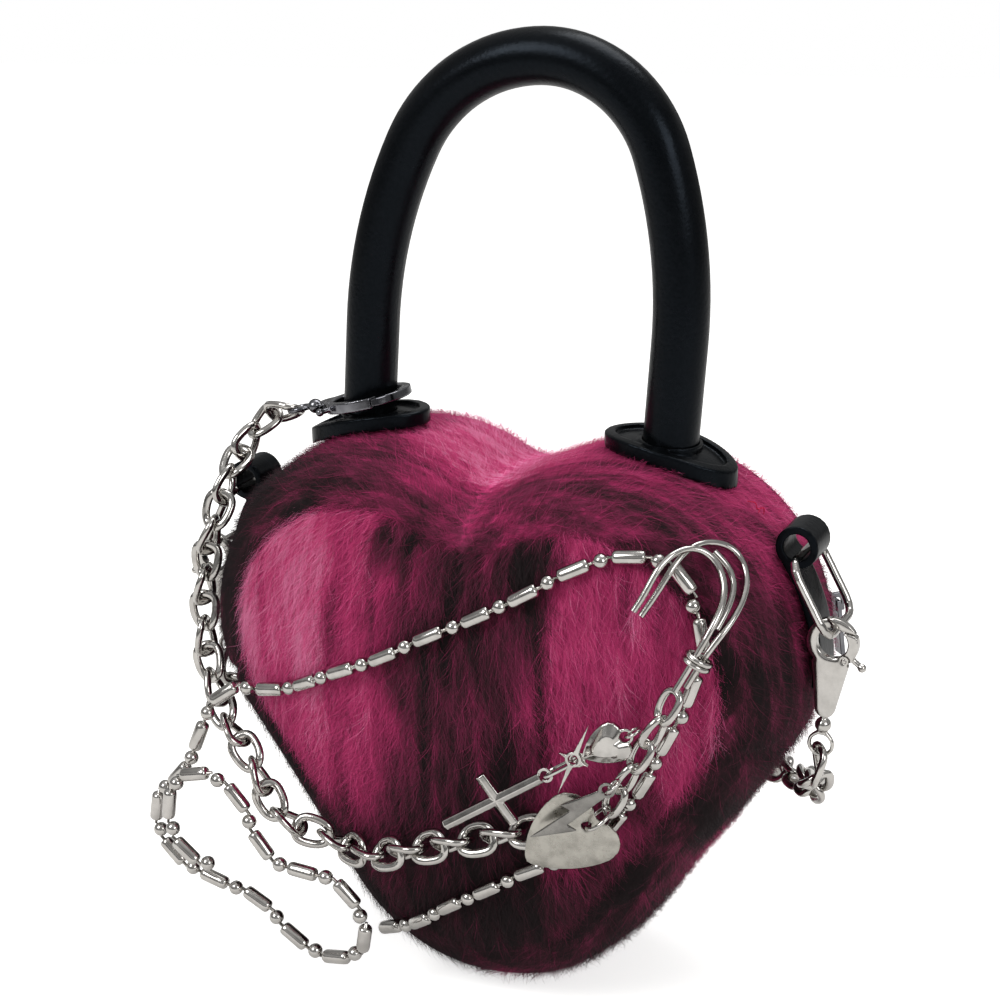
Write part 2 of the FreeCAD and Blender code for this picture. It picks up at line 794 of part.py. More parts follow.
def handle_clasp_frame():
    """Eye centre on the left leg and direction from stem to hook, lying square to the lobe's slope."""
    slope = math.degrees(math.asin((handle_span - lobe_spread) / rim_radius))
    normal = polar(1, slope + quarter_turn)
    lift = foot_seat + foot_thickness + foot_rim_rise + handle_clasp_gap + handle_clasp_thickness / 2
    foot = V(-handle_span, 0, foot_height)
    leg = V(-handle_span, 0, leg_start)
    centre = onto_plane(leg, unit(UP + RIGHT * leg_lean_share), foot + normal * lift, normal)
    return centre - BACK * handle_clasp_slack, polar(1, slope)


def place_side_clasp(shape, side):
    centre, up = side_clasp_frame()
    solid = placed(shape, centre, up, up.cross(BACK) * -1)
    return solid if side > 0 else solid.mirror(V(0, 0, 0), RIGHT)


def place_handle_clasp(shape):
    centre, along = handle_clasp_frame()
    return placed(shape, centre, along, BACK * -1)


# Places on and round the bag

bag_middle = V(0, 0, -lobe_drop - seam_drop * crown_centre_share)
seam_outline = heart_wire(0, 0)


def bag_point(shares):
    x, y, z = shares
    return V(x * seam_half_width, y * seam_half_depth, z * seam_drop - lobe_drop)


def over_panel(shares, lift):
    """Point that stands a lift in front of the cloth, on the panel or beyond its seam."""
    x, z = shares
    base = bag_point((x, 0, z))
    away = base - bag_middle
    ray = Part.LineSegment(bag_middle, bag_middle + unit(away) * (probe + overrun)).toShape()
    edge = seam_outline.distToShape(ray)[1][0][0]
    share = away.Length / (edge - bag_middle).Length
    if share <= 1:
        depth = seam_half_depth + front_crown * (1 - share ** crown_power_share)
    else:
        beyond = seam_outline.distToShape(Part.Vertex(base))[0]
        depth = seam_half_depth * math.sqrt(1 - min(1, beyond / gusset_bulge) ** 2)
    return V(base.x, -depth - lift, base.z)


def outward_at(point):
    """Direction that faces away from the bag's middle."""
    x, y, z = belly_shares
    away = point - bag_middle
    return unit(V(away.x / (x * seam_half_width) ** 2, away.y / (y * seam_half_depth) ** 2,
                  away.z / (z * seam_drop) ** 2))


def even_steps(route, pitch):
    curve = Part.BSplineCurve()
    curve.interpolate(route)
    edge = curve.toShape()
    return edge.discretize(Number=max(2, round(edge.Length / pitch) + 1))


# Curb chains

def linked_ovals(points, length, width, wire, first_roll=curb_roll):
    """Chain of ovals between points, each turned a quarter against its neighbours."""
    side, end = width / 2 - wire, length / 2 - wire
    corners = ((side, end * oval_side_share), (side * oval_end_share, end))
    outline = [V(0, y, z) for y, z in corners]
    outline += [V(0, -y, z) for y, z in reversed(corners)]
    link = wire_tube(outline + [p * -1 for p in outline], wire, closed=True)
    links = []
    roll = math.radians(first_roll)
    for start, end in zip(points, points[1:]):
        middle = (start + end) * (1 / 2)
        out = outward_at(middle)
        aside = unit(end - start).cross(out)
        links.append(placed(link, middle, end - start, out * math.cos(roll) + aside * math.sin(roll)))
        roll = -roll
    return links


def charm_chain(eye):
    """Chain that starts in the handle clasp's eye, a reach below the clasp's middle."""
    centre, along = handle_clasp_frame()
    start = centre + along * (eye.z - chain_eye_step)
    route = [start, start - along * curb_pitch] + [bag_point(shares) for shares in charm_chain_shares]
    route += [over_panel(shares, charm_chain_lift) for shares in charm_chain_end_shares]
    return Part.makeCompound(linked_ovals(even_steps(route, curb_pitch), curb_length, curb_width, curb_wire))


def shoulder_chain():
    right = [bag_point(shares) for shares in shoulder_shares]
    left = [mirror_x(point) for point in reversed(right[:-1])]
    points = even_steps(right + left, shoulder_pitch)
    return Part.makeCompound(linked_ovals(points, curb_length, curb_width, curb_wire, -curb_roll))


# Ball and bar chain

def bead_ball():
    cap = ball_radius * math.sin(math.pi / bead_sides)
    belt = ball_radius * math.cos(math.pi / bead_sides)
    return turned([(-belt, cap), (-cap / 2, ball_radius), (cap / 2, ball_radius), (belt, cap)])


def bead_bar():
    half = bar_length / 2
    profile = [(half - bar_chamfer, bar_radius), (half, bar_radius - bar_chamfer), (half, neck_radius),
               (half + neck_length, neck_radius)]
    return turned([(-along, radius) for along, radius in reversed(profile)] + profile, wire_sides)


def bead_strand(route):
    """Balls and bars in turn along a route."""
    pitch = ball_radius + bead_gap + neck_length + bar_length / 2
    points = even_steps(route, pitch)
    ball, bar = bead_ball(), bead_bar()
    solids = []
    for k in range(len(points)):
        before, after = points[max(k - 1, 0)], points[min(k + 1, len(points) - 1)]
        piece = bar if k % 2 else ball
        solids.append(placed(piece, points[k], after - before, outward_at(points[k])))
    return Part.makeCompound(solids)


def bead_chain():
    """One strand, from the loose tangle at the left edge over the panel to its lower edge."""
    loose = [bag_point(shares) for shares in reversed(tangle_shares)]
    return bead_strand(loose + [over_panel(shares, strand_lift) for shares in strand_shares])


# Hook and cable links

def hook_route(shares, lift):
    return [over_panel(share, lift) for share in shares]


def hook_wires():
    front = hook_route(hook_front_shares, hook_lift)
    back = hook_route(hook_back_shares, hook_lift - hook_step)
    middle = hook_route(hook_middle_shares, hook_lift - hook_step)
    return Part.makeCompound([wire_tube(route, hook_wire) for route in (front, back, middle)])


def hook_binding():
    """Two turns of wire round the hook's neck."""
    front = hook_route(hook_front_shares[-2:], hook_lift)
    back = hook_route(hook_back_shares[-2:], hook_lift - hook_step)
    start = (front[0] + back[0]) * (1 / 2)
    way = unit(front[1] + back[1] - front[0] - back[0])
    turns = []
    for k in range(2):
        ring = wire_ring(binding_radius, binding_wire)
        turns.append(placed(ring, start + way * (binding_wire * 2 * (k + 1)), way, outward_at(start)))
    return Part.makeCompound(turns)


def cable_points():
    return even_steps([over_panel(shares, cable_lift) for shares in cable_shares], cable_pitch)


def cable_links():
    links = linked_ovals(cable_points(), cable_length, cable_width, cable_wire)
    return Part.makeCompound(links[:cable_fixed_links]), Part.makeCompound(links[cable_fixed_links:])


# Charms, drawn in their own XZ plane with the lug at the origin and the tip along +Z

heart_far_lug = heart_length + lug_radius + lug_bore / 2


def charm_frame(shares, lift):
    """Lug, direction to the tip and direction that faces the viewer."""
    lug, tip = (over_panel(share, lift) for share in shares)
    return facing_frame(lug, tip)


def facing_frame(lug, tip):
    way = unit(tip - lug)
    out = outward_at((lug + tip) * (1 / 2))
    return lug, way, unit(out - way * out.dot(way))


def cross_frame():
    """The cross hangs on its link from the small heart's far lug."""
    lug, way, out = charm_frame(heart_shares, cable_lift)
    far, cross_way, cross_out = facing_frame(lug + way * heart_far_lug, over_panel(cross_tip_shares, cross_lift))
    return far + cross_way * cross_link_length, cross_way, cross_out


def laid(shape, frame):
    lug, way, out = frame
    return placed(shape, lug, way, way.cross(out))


def plate_between(points, thickness):
    face = Part.Face(Part.makePolygon(points + points[:1]))
    face.translate(BACK * (-thickness / 2))
    return face.extrude(BACK * thickness)


def lug_ring(place, thickness):
    return disc(V(0, 0, place), lug_radius, thickness).cut(disc(V(0, 0, place), lug_bore, thickness * 2))


def joining_ring(radius, place):
    """Wire ring standing square to a charm, with its middle at place."""
    return placed(wire_ring(radius, ring_wire), V(0, 0, place), RIGHT, UP)


def heart_outline(width, length):
    """Heart with its notch at the origin and its tip along +Z."""
    lobe = width * heart_lobe_share
    side = width / 2 - lobe
    notch = math.sqrt(lobe ** 2 - side ** 2)
    centre = V(side, 0, notch)
    tip = V(0, 0, length)
    run = tip - centre
    touch = math.degrees(math.atan2(run.z, run.x)) - math.degrees(math.acos(lobe / run.Length))
    lean = touch - heart_flank_turn
    start = -math.degrees(math.atan2(notch, -side))
    right = [centre + polar(lobe, start + (lean - start) * k / heart_steps) for k in range(heart_steps + 1)]
    end = right[-1]
    flank = tip - end
    swell = flank.Length * math.tan(math.radians(heart_flank_turn) / 2) / 2
    out = unit(V(flank.z, 0, -flank.x))
    for k in range(1, heart_steps):
        share = k / heart_steps
        right.append(end + flank * share + out * (swell * 4 * share * (1 - share)))
    left = [mirror_x(point) for point in reversed(right[1:])]
    return right + [tip] + left


def cross_charm():
    body = Part.makeBox(cross_bar, cross_bar, cross_length)
    body.translate(V(-cross_bar / 2, -cross_bar / 2, lug_bore))
    arm = Part.makeBox(cross_arm, cross_bar, cross_bar)
    arm.translate(V(-cross_arm / 2, -cross_bar / 2, cross_length * cross_arm_share))
    bore = disc(V(0, 0, 0), lug_bore, cross_bar * 2)
    return body.fuse([arm, lug_ring(0, lug_thickness)]).cut(bore).removeSplitter()


def cross_link():
    """Long wire loop from the small heart's lug to the cross."""
    points = loop_points(cross_link_width, cross_link_length, cross_link_width / 2, 2)
    loop = wire_tube(points, ring_wire, closed=True)
    loop.translate(V(0, 0, -cross_link_length / 2))
    return loop


def small_heart():
    outline = heart_outline(heart_width, heart_length)
    middle = V(0, 0, heart_length / 3)
    rings = []
    for y, share in ((-1 / 2, heart_face_share), (-1 / 6, 1), (1 / 6, 1), (1 / 2, heart_face_share)):
        rings.append([middle + (p - middle) * share + BACK * (y * heart_thickness) for p in outline])
    body = skin(rings, False)
    body.translate(UP * lug_bore)
    lugs = [lug_ring(0, lug_thickness), lug_ring(heart_far_lug, lug_thickness)]
    return body.fuse(lugs).cut(disc(V(0, 0, 0), lug_bore, heart_thickness * 2)).removeSplitter()


def heart_tag():
    plate = plate_between(heart_outline(tag_width, tag_length), tag_thickness)
    return plate.cut(disc(V(0, 0, tag_hole), lug_bore, tag_thickness * 2))


def bolt_charm():
    points = [V(x * bolt_width, 0, z * bolt_length) for x, z in bolt_outline_shares]
    plate = plate_between(points, bolt_thickness)
    plate.translate(UP * lug_bore)
    bore = disc(V(0, 0, 0), lug_bore, bolt_length)
    return plate.fuse(lug_ring(0, bolt_thickness)).cut(bore).removeSplitter()


def star_charm():
    long, wide = star_length / 2, star_width / 2
    waist = star_width * star_waist_share
    points = []
    for k, reach in enumerate((long, wide, long, wide)):
        points.append(polar(reach, quarter_turn * (k + 1)))
        points.append(polar(waist, quarter_turn * (k + 3 / 2)))
    plate = plate_between(points, star_thickness)
    plate.translate(UP * long)
    return plate.fuse(disc(V(0, 0, long), lug_radius, star_thickness)).cut(disc(V(0, 0, long), lug_bore, long))


# Put together and export

def build():
    holes = screw_holes()
    gusset_upper, gusset_lower = gusset_pieces(holes)
    back_lower, back_upper = back_panels()
    tape_gusset, tape_flap, coil_gusset, coil_flap = zip_pieces()
    seat = gusset_core(foot_seat)
    plate = gusset_core(foot_seat + foot_thickness)
    rim = gusset_core(foot_seat + foot_thickness + foot_rim_rise)
    bite = gusset_core(foot_seat + screw_bite)
    screw_reach = gusset_core(foot_seat + screw_bite - screw_gap)
    backing_outer = gusset_core(backing_drop())
    backing_inner = gusset_core(backing_drop() - backing_thickness)
    head_top = gusset_core(backing_drop() - backing_thickness - screw_gap)
    cable_fixed, cable_end = cable_links()
    cross_place = cross_frame()
    heart_place = charm_frame(heart_shares, cable_lift)
    tag_place = charm_frame(tag_shares, tag_lift)
    bolt_place = charm_frame(bolt_shares, bolt_lift)
    side_clasp = clasp_pieces(side_hook_bore, side_hook_bar, side_clasp_stem, side_clasp_thickness)[0]
    leg_clasp, leg_eye = clasp_pieces(
        handle_hook_bore, handle_hook_bar, handle_clasp_stem, handle_clasp_thickness)
    pieces = {
        "front_panel": front_panel(),
        "gusset_upper": gusset_upper,
        "gusset_lower": gusset_lower,
        "back_panel_lower": back_lower,
        "back_panel_upper": back_upper,
        "lining": lining(holes),
        "zip_tape_gusset": tape_gusset,
        "zip_tape_flap": tape_flap,
        "zip_coil_gusset": coil_gusset,
        "zip_coil_flap": coil_flap,
        "zip_slider": zip_slider(),
        "zip_puller": zip_puller(),
        "zip_stops": zip_stops(),
        "handle_cover": handle_cover(),
        "handle_core": handle_core(),
        "handle_foot_left": handle_foot(-1, seat, plate, rim, bite),
        "handle_foot_right": handle_foot(1, seat, plate, rim, bite),
        "handle_backing_plates": backing_plates(backing_outer, backing_inner),
        "handle_screws": handle_screws(screw_reach, head_top),
        "charm_chain": charm_chain(leg_eye),
        "shoulder_chain": shoulder_chain(),
        "bead_chain": bead_chain(),
        "hook_wires": hook_wires(),
        "hook_binding": hook_binding(),
        "cable_links": cable_fixed,
        "cable_end_links": cable_end,
        "cross_charm": laid(cross_charm(), cross_place),
        "cross_link": laid(cross_link(), cross_place),
        "small_heart_charm": laid(small_heart(), heart_place),
        "small_heart_ring": laid(joining_ring(ring_radius, -ring_radius), heart_place),
        "heart_tag": laid(heart_tag(), tag_place),
        "heart_tag_ring": laid(joining_ring(tag_ring_radius, tag_hole - tag_ring_radius), tag_place),
        "bolt_charm": laid(bolt_charm(), bolt_place),
        "bolt_ring": laid(joining_ring(bolt_ring_radius, -bolt_ring_radius), bolt_place),
        "star_charm": laid(star_charm(), charm_frame(star_shares, star_lift)),
    }
    for side, name in ((-1, "left"), (1, "right")):
        pieces["side_tab_" + name] = side_tab(side)
        pieces["side_link_" + name] = side_link(side)
        for part, shape in side_clasp.items():
            pieces["clasp_" + name + "_" + part] = place_side_clasp(shape, side)
    for part, shape in leg_clasp.items():
        pieces["handle_clasp_" + part] = place_handle_clasp(shape)
    return pieces


os.makedirs("parts", exist_ok=True)
for name, shape in build().items():
    moved = shape.copy()
    moved.translate(V(-handle_lean, 0, 0))
    moved.exportStep(os.path.join("parts", name + ".step"))
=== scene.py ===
"""Looks of a heart shaped purse in brushed plaid mohair with a rolled handle, chains and charms.

The sections follow the purse as it is put together: cloth shell, pile, lining, zip, handle,
side links and clasps, chains, beads, hook, charms and loose thread, and last the studio.
"""

import json
import math

import bmesh
import bpy
import numpy as np
from mathutils import Matrix, Vector

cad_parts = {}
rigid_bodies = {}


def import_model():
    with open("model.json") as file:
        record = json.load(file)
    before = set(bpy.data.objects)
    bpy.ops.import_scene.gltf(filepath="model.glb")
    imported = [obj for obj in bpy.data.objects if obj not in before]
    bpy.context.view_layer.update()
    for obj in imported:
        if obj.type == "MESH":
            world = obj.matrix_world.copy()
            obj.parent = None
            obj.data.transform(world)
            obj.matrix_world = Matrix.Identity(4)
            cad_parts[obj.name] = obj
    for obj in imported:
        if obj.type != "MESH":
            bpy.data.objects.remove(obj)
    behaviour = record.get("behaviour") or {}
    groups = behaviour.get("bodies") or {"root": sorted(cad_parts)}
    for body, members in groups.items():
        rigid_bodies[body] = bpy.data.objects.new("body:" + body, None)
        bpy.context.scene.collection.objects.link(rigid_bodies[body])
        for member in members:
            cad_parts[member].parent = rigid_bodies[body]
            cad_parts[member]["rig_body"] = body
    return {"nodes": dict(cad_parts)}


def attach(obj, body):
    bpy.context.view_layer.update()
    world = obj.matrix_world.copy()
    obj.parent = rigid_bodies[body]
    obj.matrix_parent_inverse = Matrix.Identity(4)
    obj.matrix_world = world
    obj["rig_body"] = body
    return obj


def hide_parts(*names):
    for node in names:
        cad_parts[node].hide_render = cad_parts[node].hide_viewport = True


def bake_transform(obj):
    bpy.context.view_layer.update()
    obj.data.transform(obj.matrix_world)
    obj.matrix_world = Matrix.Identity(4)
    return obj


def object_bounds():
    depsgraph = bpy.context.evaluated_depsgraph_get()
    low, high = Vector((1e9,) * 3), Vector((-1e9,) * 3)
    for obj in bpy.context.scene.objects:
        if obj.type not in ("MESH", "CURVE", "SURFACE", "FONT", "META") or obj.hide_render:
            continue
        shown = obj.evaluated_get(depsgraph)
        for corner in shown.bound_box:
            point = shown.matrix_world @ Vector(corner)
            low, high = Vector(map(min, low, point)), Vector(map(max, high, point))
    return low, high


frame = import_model()
cad_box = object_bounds()
nodes = frame["nodes"]
MM = 0.001


# Cloth shell: front panel. A heart cut from thick mohair plaid and stuffed, so that it
# crowns forward of its seam. It is sewn edge to edge to the gusset, and the seam sinks
# into the pile.

middle_x = -12.0
lobe_radius, lobe_spread, lobe_z = 46.0, 37.5, -174.5
tip_radius, tip_z = 46.0, -229.5
cleft_radius = 30.0
seam_y = 38.0
front_crown, back_crown = 14.0, 11.0
crown_power = 2.5
crown_middle_z = -189.65
outline_count = 480


def heart_outline():
    """Even steps round the seam: place, outward normal and signed run from the cleft, in mm."""
    rise = math.sqrt((lobe_radius + cleft_radius) ** 2 - lobe_spread ** 2)
    cleft = np.array([0.0, lobe_z + rise])
    lobe = np.array([lobe_spread, lobe_z])
    tip = np.array([0.0, tip_z])
    to_cleft = math.atan2(rise, -lobe_spread)
    run = tip - lobe
    flank = math.atan2(-run[0], run[1]) + math.pi
    flank = math.atan2(math.sin(flank), math.cos(flank))
    cleft_turn = to_cleft - math.pi / 2
    lengths = [cleft_radius * cleft_turn, lobe_radius * (to_cleft - flank), float(np.hypot(*run)),
               tip_radius * (flank + math.pi / 2)]
    ends = np.cumsum(lengths)
    half = ends[-1]
    places, normals, runs = [], [], []
    for k in range(outline_count):
        along = 2 * half * k / outline_count
        side = 1.0 if along <= half else -1.0
        s = along if side > 0 else 2 * half - along
        if s <= ends[0]:
            angle = -math.pi / 2 + s / cleft_radius
            way = np.array([math.cos(angle), math.sin(angle)])
            place, normal = cleft + way * cleft_radius, -way
        elif s <= ends[1]:
            angle = to_cleft - (s - ends[0]) / lobe_radius
            normal = np.array([math.cos(angle), math.sin(angle)])
            place = lobe + normal * lobe_radius
        elif s <= ends[2]:
            normal = np.array([math.cos(flank), math.sin(flank)])
            place = lobe + normal * lobe_radius + run * ((s - ends[1]) / lengths[2])
        else:
            angle = flank - (s - ends[2]) / tip_radius
            normal = np.array([math.cos(angle), math.sin(angle)])
            place = tip + normal * tip_radius
        places.append((place[0] * side, place[1]))
        normals.append((normal[0] * side, normal[1]))
        runs.append(s * side)
    return np.array(places), np.array(normals), np.array(runs)


seam_places, seam_normals, seam_runs = heart_outline()


def waves(points, size):
    """Slow, seeded unevenness of hand-stuffed cloth, from -1 to 1."""
    total = np.zeros(len(points))
    for k, (a, b, c, turn) in enumerate(((1.0, 0.4, 0.7, 0.3), (-0.6, 1.1, 0.5, 2.1), (0.5, -0.8, 1.2, 4.0))):
        total += np.sin((points @ np.array([a, b, c])) * (2 * math.pi / (size * (1 + 0.3 * k))) + turn)
    return total / 3


def placed(name, data):
    """New object of the scene that holds this data."""
    made = bpy.data.objects.new(name, data)
    bpy.context.scene.collection.objects.link(made)
    return made


down = np.array([0.0, 0.0, -1.0])


def cloth_piece(name, rings, weave=None, flow=None, top=None, closed=True):
    """Mesh from rings of points in mm and a top that closes them, with the cloth's own coordinates
    and pile direction."""
    count = len(rings[0])
    points = np.concatenate(rings)
    faces = []
    steps = count if closed else count - 1
    for r in range(len(rings) - 1):
        for k in range(steps):
            a, b = r * count + k, r * count + (k + 1) % count
            faces.append((a, a + count, b + count, b))
    weave, flow = np.concatenate(weave or rings), np.concatenate(flow or rings)
    if top is not None:
        points = np.vstack([points, top])
        weave, flow = np.vstack([weave, top]), np.vstack([flow, down])
        last = (len(rings) - 1) * count
        for k in range(count):
            faces.append((last + k, len(points) - 1, last + (k + 1) % count))
    points = points + np.array([middle_x, 0.0, 0.0])
    mesh = bpy.data.meshes.new(name)
    mesh.from_pydata((points * MM).tolist(), [], faces)
    for label, values in (("weave", weave * MM), ("flow", flow)):
        layer = mesh.attributes.new(label, "FLOAT_VECTOR", "POINT")
        layer.data.foreach_set("vector", values.astype(np.float32).ravel())
    mesh.shade_smooth()
    return placed(name, mesh)


panel_shares = (1.0, 0.985, 0.965, 0.94, 0.91, 0.87, 0.82, 0.76, 0.7, 0.63, 0.56, 0.48, 0.4, 0.32,
                0.24, 0.16, 0.09)
pile_depth = 1.3
seam_sink = 4.2
seam_roll_share = 0.06
seam_roll = 5.0
panel_swell, swell_rate = 1.2, 3
panel_wave, panel_wave_length, wave_rate = 0.7, 60.0, 8
panel_peak = 1.001


def crown_rings(side, rise, inset=0.0):
    """Rings of one crowned heart panel, from its sunk seam to near its middle, and its top."""
    middle = np.array([0.0, crown_middle_z])
    rings = []
    for share in panel_shares:
        flat = middle + (seam_places + seam_normals * -inset - middle) * share
        swell = panel_swell * math.sin(math.pi * min(1, (1 - share) * swell_rate)) ** 2
        lift = rise * (1 - share ** crown_power) + swell
        lift -= seam_sink * max(0.0, 1 - (1 - share) / seam_roll_share) + pile_depth + inset
        ring = np.column_stack([flat[:, 0], np.full(len(flat), seam_y + lift), flat[:, 1]])
        ring[:, 1] += waves(ring, panel_wave_length) * panel_wave * min(1.0, (1 - share) * wave_rate)
        ring[:, 1] *= side
        rings.append(ring)
    top = rings[-1].mean(axis=0)
    top[1] = rings[-1][:, 1].mean() * panel_peak
    return rings, top


nap_swing, nap_run, nap_fan = 0.25, 19.0, 0.004
front_rings, front_top = crown_rings(-1, front_crown)
front_flow = []
for ring in front_rings:
    lean = nap_swing * np.sin(ring[:, 0] / nap_run) + nap_fan * ring[:, 0]
    front_flow.append(np.column_stack([lean, np.zeros(len(ring)), -np.ones(len(ring))]))
front_cloth = cloth_piece("front_cloth", front_rings, flow=front_flow, top=front_top)


def srgb(code):
    """Linear colour of an sRGB hex code."""
    parts = [int(code[k:k + 2], 16) / 255 for k in (1, 3, 5)]
    return tuple(c / 12.92 if c <= 0.04045 else ((c + 0.055) / 1.055) ** 2.4 for c in parts) + (1.0,)


def feed(tree, node, links):
    """Give a node's sockets their links or values."""
    for key, value in links.items():
        if isinstance(value, bpy.types.NodeSocket):
            tree.links.new(value, node.inputs[key])
        else:
            node.inputs[key].default_value = value


def add(tree, kind, links=None, stops=None, **settings):
    """Outputs of a new node with its settings, ramp stops, and links or values by socket."""
    made = tree.nodes.new(kind)
    for key, value in settings.items():
        setattr(made, key, value)
    feed(tree, made, links or {})
    if stops:
        points = made.color_ramp.elements
        while len(points) < len(stops):
            points.new(0.5)
        for point, (place, colour) in zip(points, stops):
            point.position = place
            point.color = colour if isinstance(colour, tuple) else (colour, colour, colour, 1.0)
    return made.outputs


def finish_named(name):
    """New material with its tree and its shader."""
    material = bpy.data.materials.new(name)
    material.use_nodes = True
    return material, material.node_tree, material.node_tree.nodes["Principled BSDF"]


def mohair(name, across, along, across_stops, along_stops, streak):
    """Brushed mohair: a plaid of pink and near-black yarn, teased into long fibres that blur its
    blocks, with a painted highlight of light pink on the brightest streaks. Both ways of the plaid
    are given from lowest to highest in mm, the second with its axis; on the gusset it also paints shade."""
    material, tree, shader = finish_named(name)
    weave = add(tree, "ShaderNodeAttribute", attribute_name="weave")["Vector"]
    tint = add(tree, "ShaderNodeAttribute", attribute_name="tint")["Fac"]
    axes = add(tree, "ShaderNodeSeparateXYZ", {0: weave})
    stretched = add(tree, "ShaderNodeVectorMath", {0: weave, 1: streak}, operation="MULTIPLY")[0]
    teased = add(tree, "ShaderNodeTexNoise",
                 {"Vector": stretched, "Scale": 1.0, "Detail": 4.0, "Roughness": 0.7})[0]
    clumps = add(tree, "ShaderNodeTexNoise", {"Vector": weave, "Scale": 1 / (26 * MM), "Detail": 2.0})[0]
    drift = add(tree, "ShaderNodeMath", {0: teased, 1: 12 * MM, 2: -6 * MM}, operation="MULTIPLY_ADD")[0]
    wander = add(tree, "ShaderNodeMath", {0: clumps, 1: 24 * MM, 2: -12 * MM}, operation="MULTIPLY_ADD")[0]
    shift = add(tree, "ShaderNodeMath", {0: drift, 1: wander}, operation="ADD")[0]
    blocks = []
    for axis, (low, high), stops in (("X", across, across_stops), (along[2], along[:2], along_stops)):
        moved = add(tree, "ShaderNodeMath", {0: axes[axis], 1: shift}, operation="ADD")[0]
        share = add(tree, "ShaderNodeMapRange", {0: moved, 1: low * MM, 2: high * MM})[0]
        blocks.append(add(tree, "ShaderNodeValToRGB", {0: share}, stops=stops)[0])
    rows = add(tree, "ShaderNodeMath", {0: blocks[1], 1: 0.66, 2: 0.34}, operation="MULTIPLY_ADD")[0]
    pink = add(tree, "ShaderNodeMath", {0: blocks[0], 1: rows}, operation="MULTIPLY")[0]
    grain = add(tree, "ShaderNodeMath", {0: teased, 1: 1.7, 2: -0.88}, operation="MULTIPLY_ADD")[0]
    spread = add(tree, "ShaderNodeMath", {0: tint, 1: 0.22}, operation="MULTIPLY")[0]
    dashes = add(tree, "ShaderNodeTexNoise", {"Vector": stretched, "Scale": 0.5, "Detail": 1.0})[0]
    dashes = add(tree, "ShaderNodeMapRange", {0: dashes, 1: 0.52, 2: 0.66, 3: 0.04, 4: -0.6})[0]
    thin = add(tree, "ShaderNodeMath", {0: blocks[0], 1: -1.2, 2: 1.5}, operation="MULTIPLY_ADD")[0]
    grain = add(tree, "ShaderNodeMath", {0: dashes, 1: thin, 2: grain}, operation="MULTIPLY_ADD")[0]
    mixed = add(tree, "ShaderNodeMath", {0: pink, 1: grain}, operation="ADD")[0]
    mixed = add(tree, "ShaderNodeMath", {0: mixed, 1: spread}, operation="ADD")[0]
    # The top stop, light pink #da7ea5, is a painted highlight that only the brightest streaks of the grain
    # reach.
    yarn = add(tree, "ShaderNodeValToRGB", {0: mixed}, stops=(
        (0.0, srgb("#1b1315")), (0.2, srgb("#351a22")), (0.42, srgb("#6f2442")), (0.68, srgb("#b02f64")),
        (0.9, srgb("#cd4a7f")), (1.0, srgb("#da7ea5"))))[0]
    relief = add(tree, "ShaderNodeBump", {"Height": teased, "Strength": 0.6, "Distance": 0.8 * MM})[0]
    feed(tree, shader, {"Base Color": yarn, "Normal": relief, "Roughness": 0.85, "Specular IOR Level": 0.2,
                        "Sheen Weight": 0.04, "Sheen Roughness": 0.4, "Sheen Tint": srgb("#e7b3cd")})
    return material


def stands_for(piece, slot, body, *node_names):
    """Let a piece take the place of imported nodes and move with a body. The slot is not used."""
    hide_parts(*node_names)
    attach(piece, body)


panel_mohair = mohair(
    "brushed_mohair_plaid_panel", (-85, 85), (-285, -115, "Z"),
    ((0.0, 1.0), (0.23, 1.0), (0.28, 0.72), (0.35, 0.78), (0.39, 0.34), (0.5, 0.3), (0.64, 0.36),
     (0.7, 0.76), (1.0, 0.82)),
    ((0.0, 0.0), (0.3, 0.06), (0.4, 0.6), (0.52, 0.86), (0.62, 1.0), (0.86, 1.0), (1.0, 0.9)),
    (1 / (2.2 * MM), 1 / (9 * MM), 1 / (22 * MM)))
front_cloth.data.materials.append(panel_mohair)
stands_for(front_cloth, "mohair", "bag", "front_panel")


# Cloth shell: gusset. The strip that joins front and back all the way round, in the same
# mohair cut another way. Stuffing rolls it out beyond both seams, so its front edge
# overhangs the panel as a soft lip.

gusset_bulge = 15.0
bulge_power = 2.3
zip_y = 27.5
side_seam_run = 128.0
side_fold_depth, side_fold_half = 1.8, 1.6
gusset_wave, gusset_wave_length, wave_edge = 0.9, 48.0, 8
nap_backward, nap_over_zip = 0.35, 1.5
gusset_shares = np.sin(np.linspace(-90, 90, 41) * math.pi / 180)


def gusset_rings(inset=0.0):
    """Rings across the gusset, front seam to back seam or zip, bulged out of the seam outline."""
    rings, weave, flow = [], [], []
    upper = np.abs(seam_runs) < side_seam_run
    end_y = np.where(upper, zip_y, seam_y)
    fold = np.exp(-((np.abs(seam_runs) - side_seam_run) / side_fold_half) ** 2) * side_fold_depth
    following = np.roll(seam_places, -1, axis=0) - np.roll(seam_places, 1, axis=0)
    following /= np.linalg.norm(following, axis=1)[:, None]
    for share in gusset_shares:
        y = -seam_y + (share + 1) / 2 * (end_y + seam_y)
        bulge = gusset_bulge * np.clip(1 - np.abs(y / seam_y) ** bulge_power, 0, 1) ** (1 / bulge_power)
        sunk = seam_sink * np.clip(1 - (seam_y - np.abs(y)) / seam_roll, 0, 1)
        grow = bulge - pile_depth - inset - fold - sunk
        place = seam_places + seam_normals * grow[:, None]
        ring = np.column_stack([place[:, 0], y, place[:, 1]])
        swell = waves(ring, gusset_wave_length) * gusset_wave
        swell = swell * np.clip((seam_y - np.abs(y)) / wave_edge, 0, 1)
        ring[:, [0, 2]] += seam_normals * swell[:, None]
        rings.append(ring)
        weave.append(np.column_stack([seam_runs, y, np.zeros(len(y))]))
        ahead = following * np.sign(seam_runs + 0.01)[:, None]
        backward = nap_backward + nap_over_zip * np.clip((y - zip_y / 2) / (zip_y / 2), 0, 1) * upper
        flow.append(np.column_stack([ahead[:, 0], backward, ahead[:, 1]]))
    return rings, weave, flow


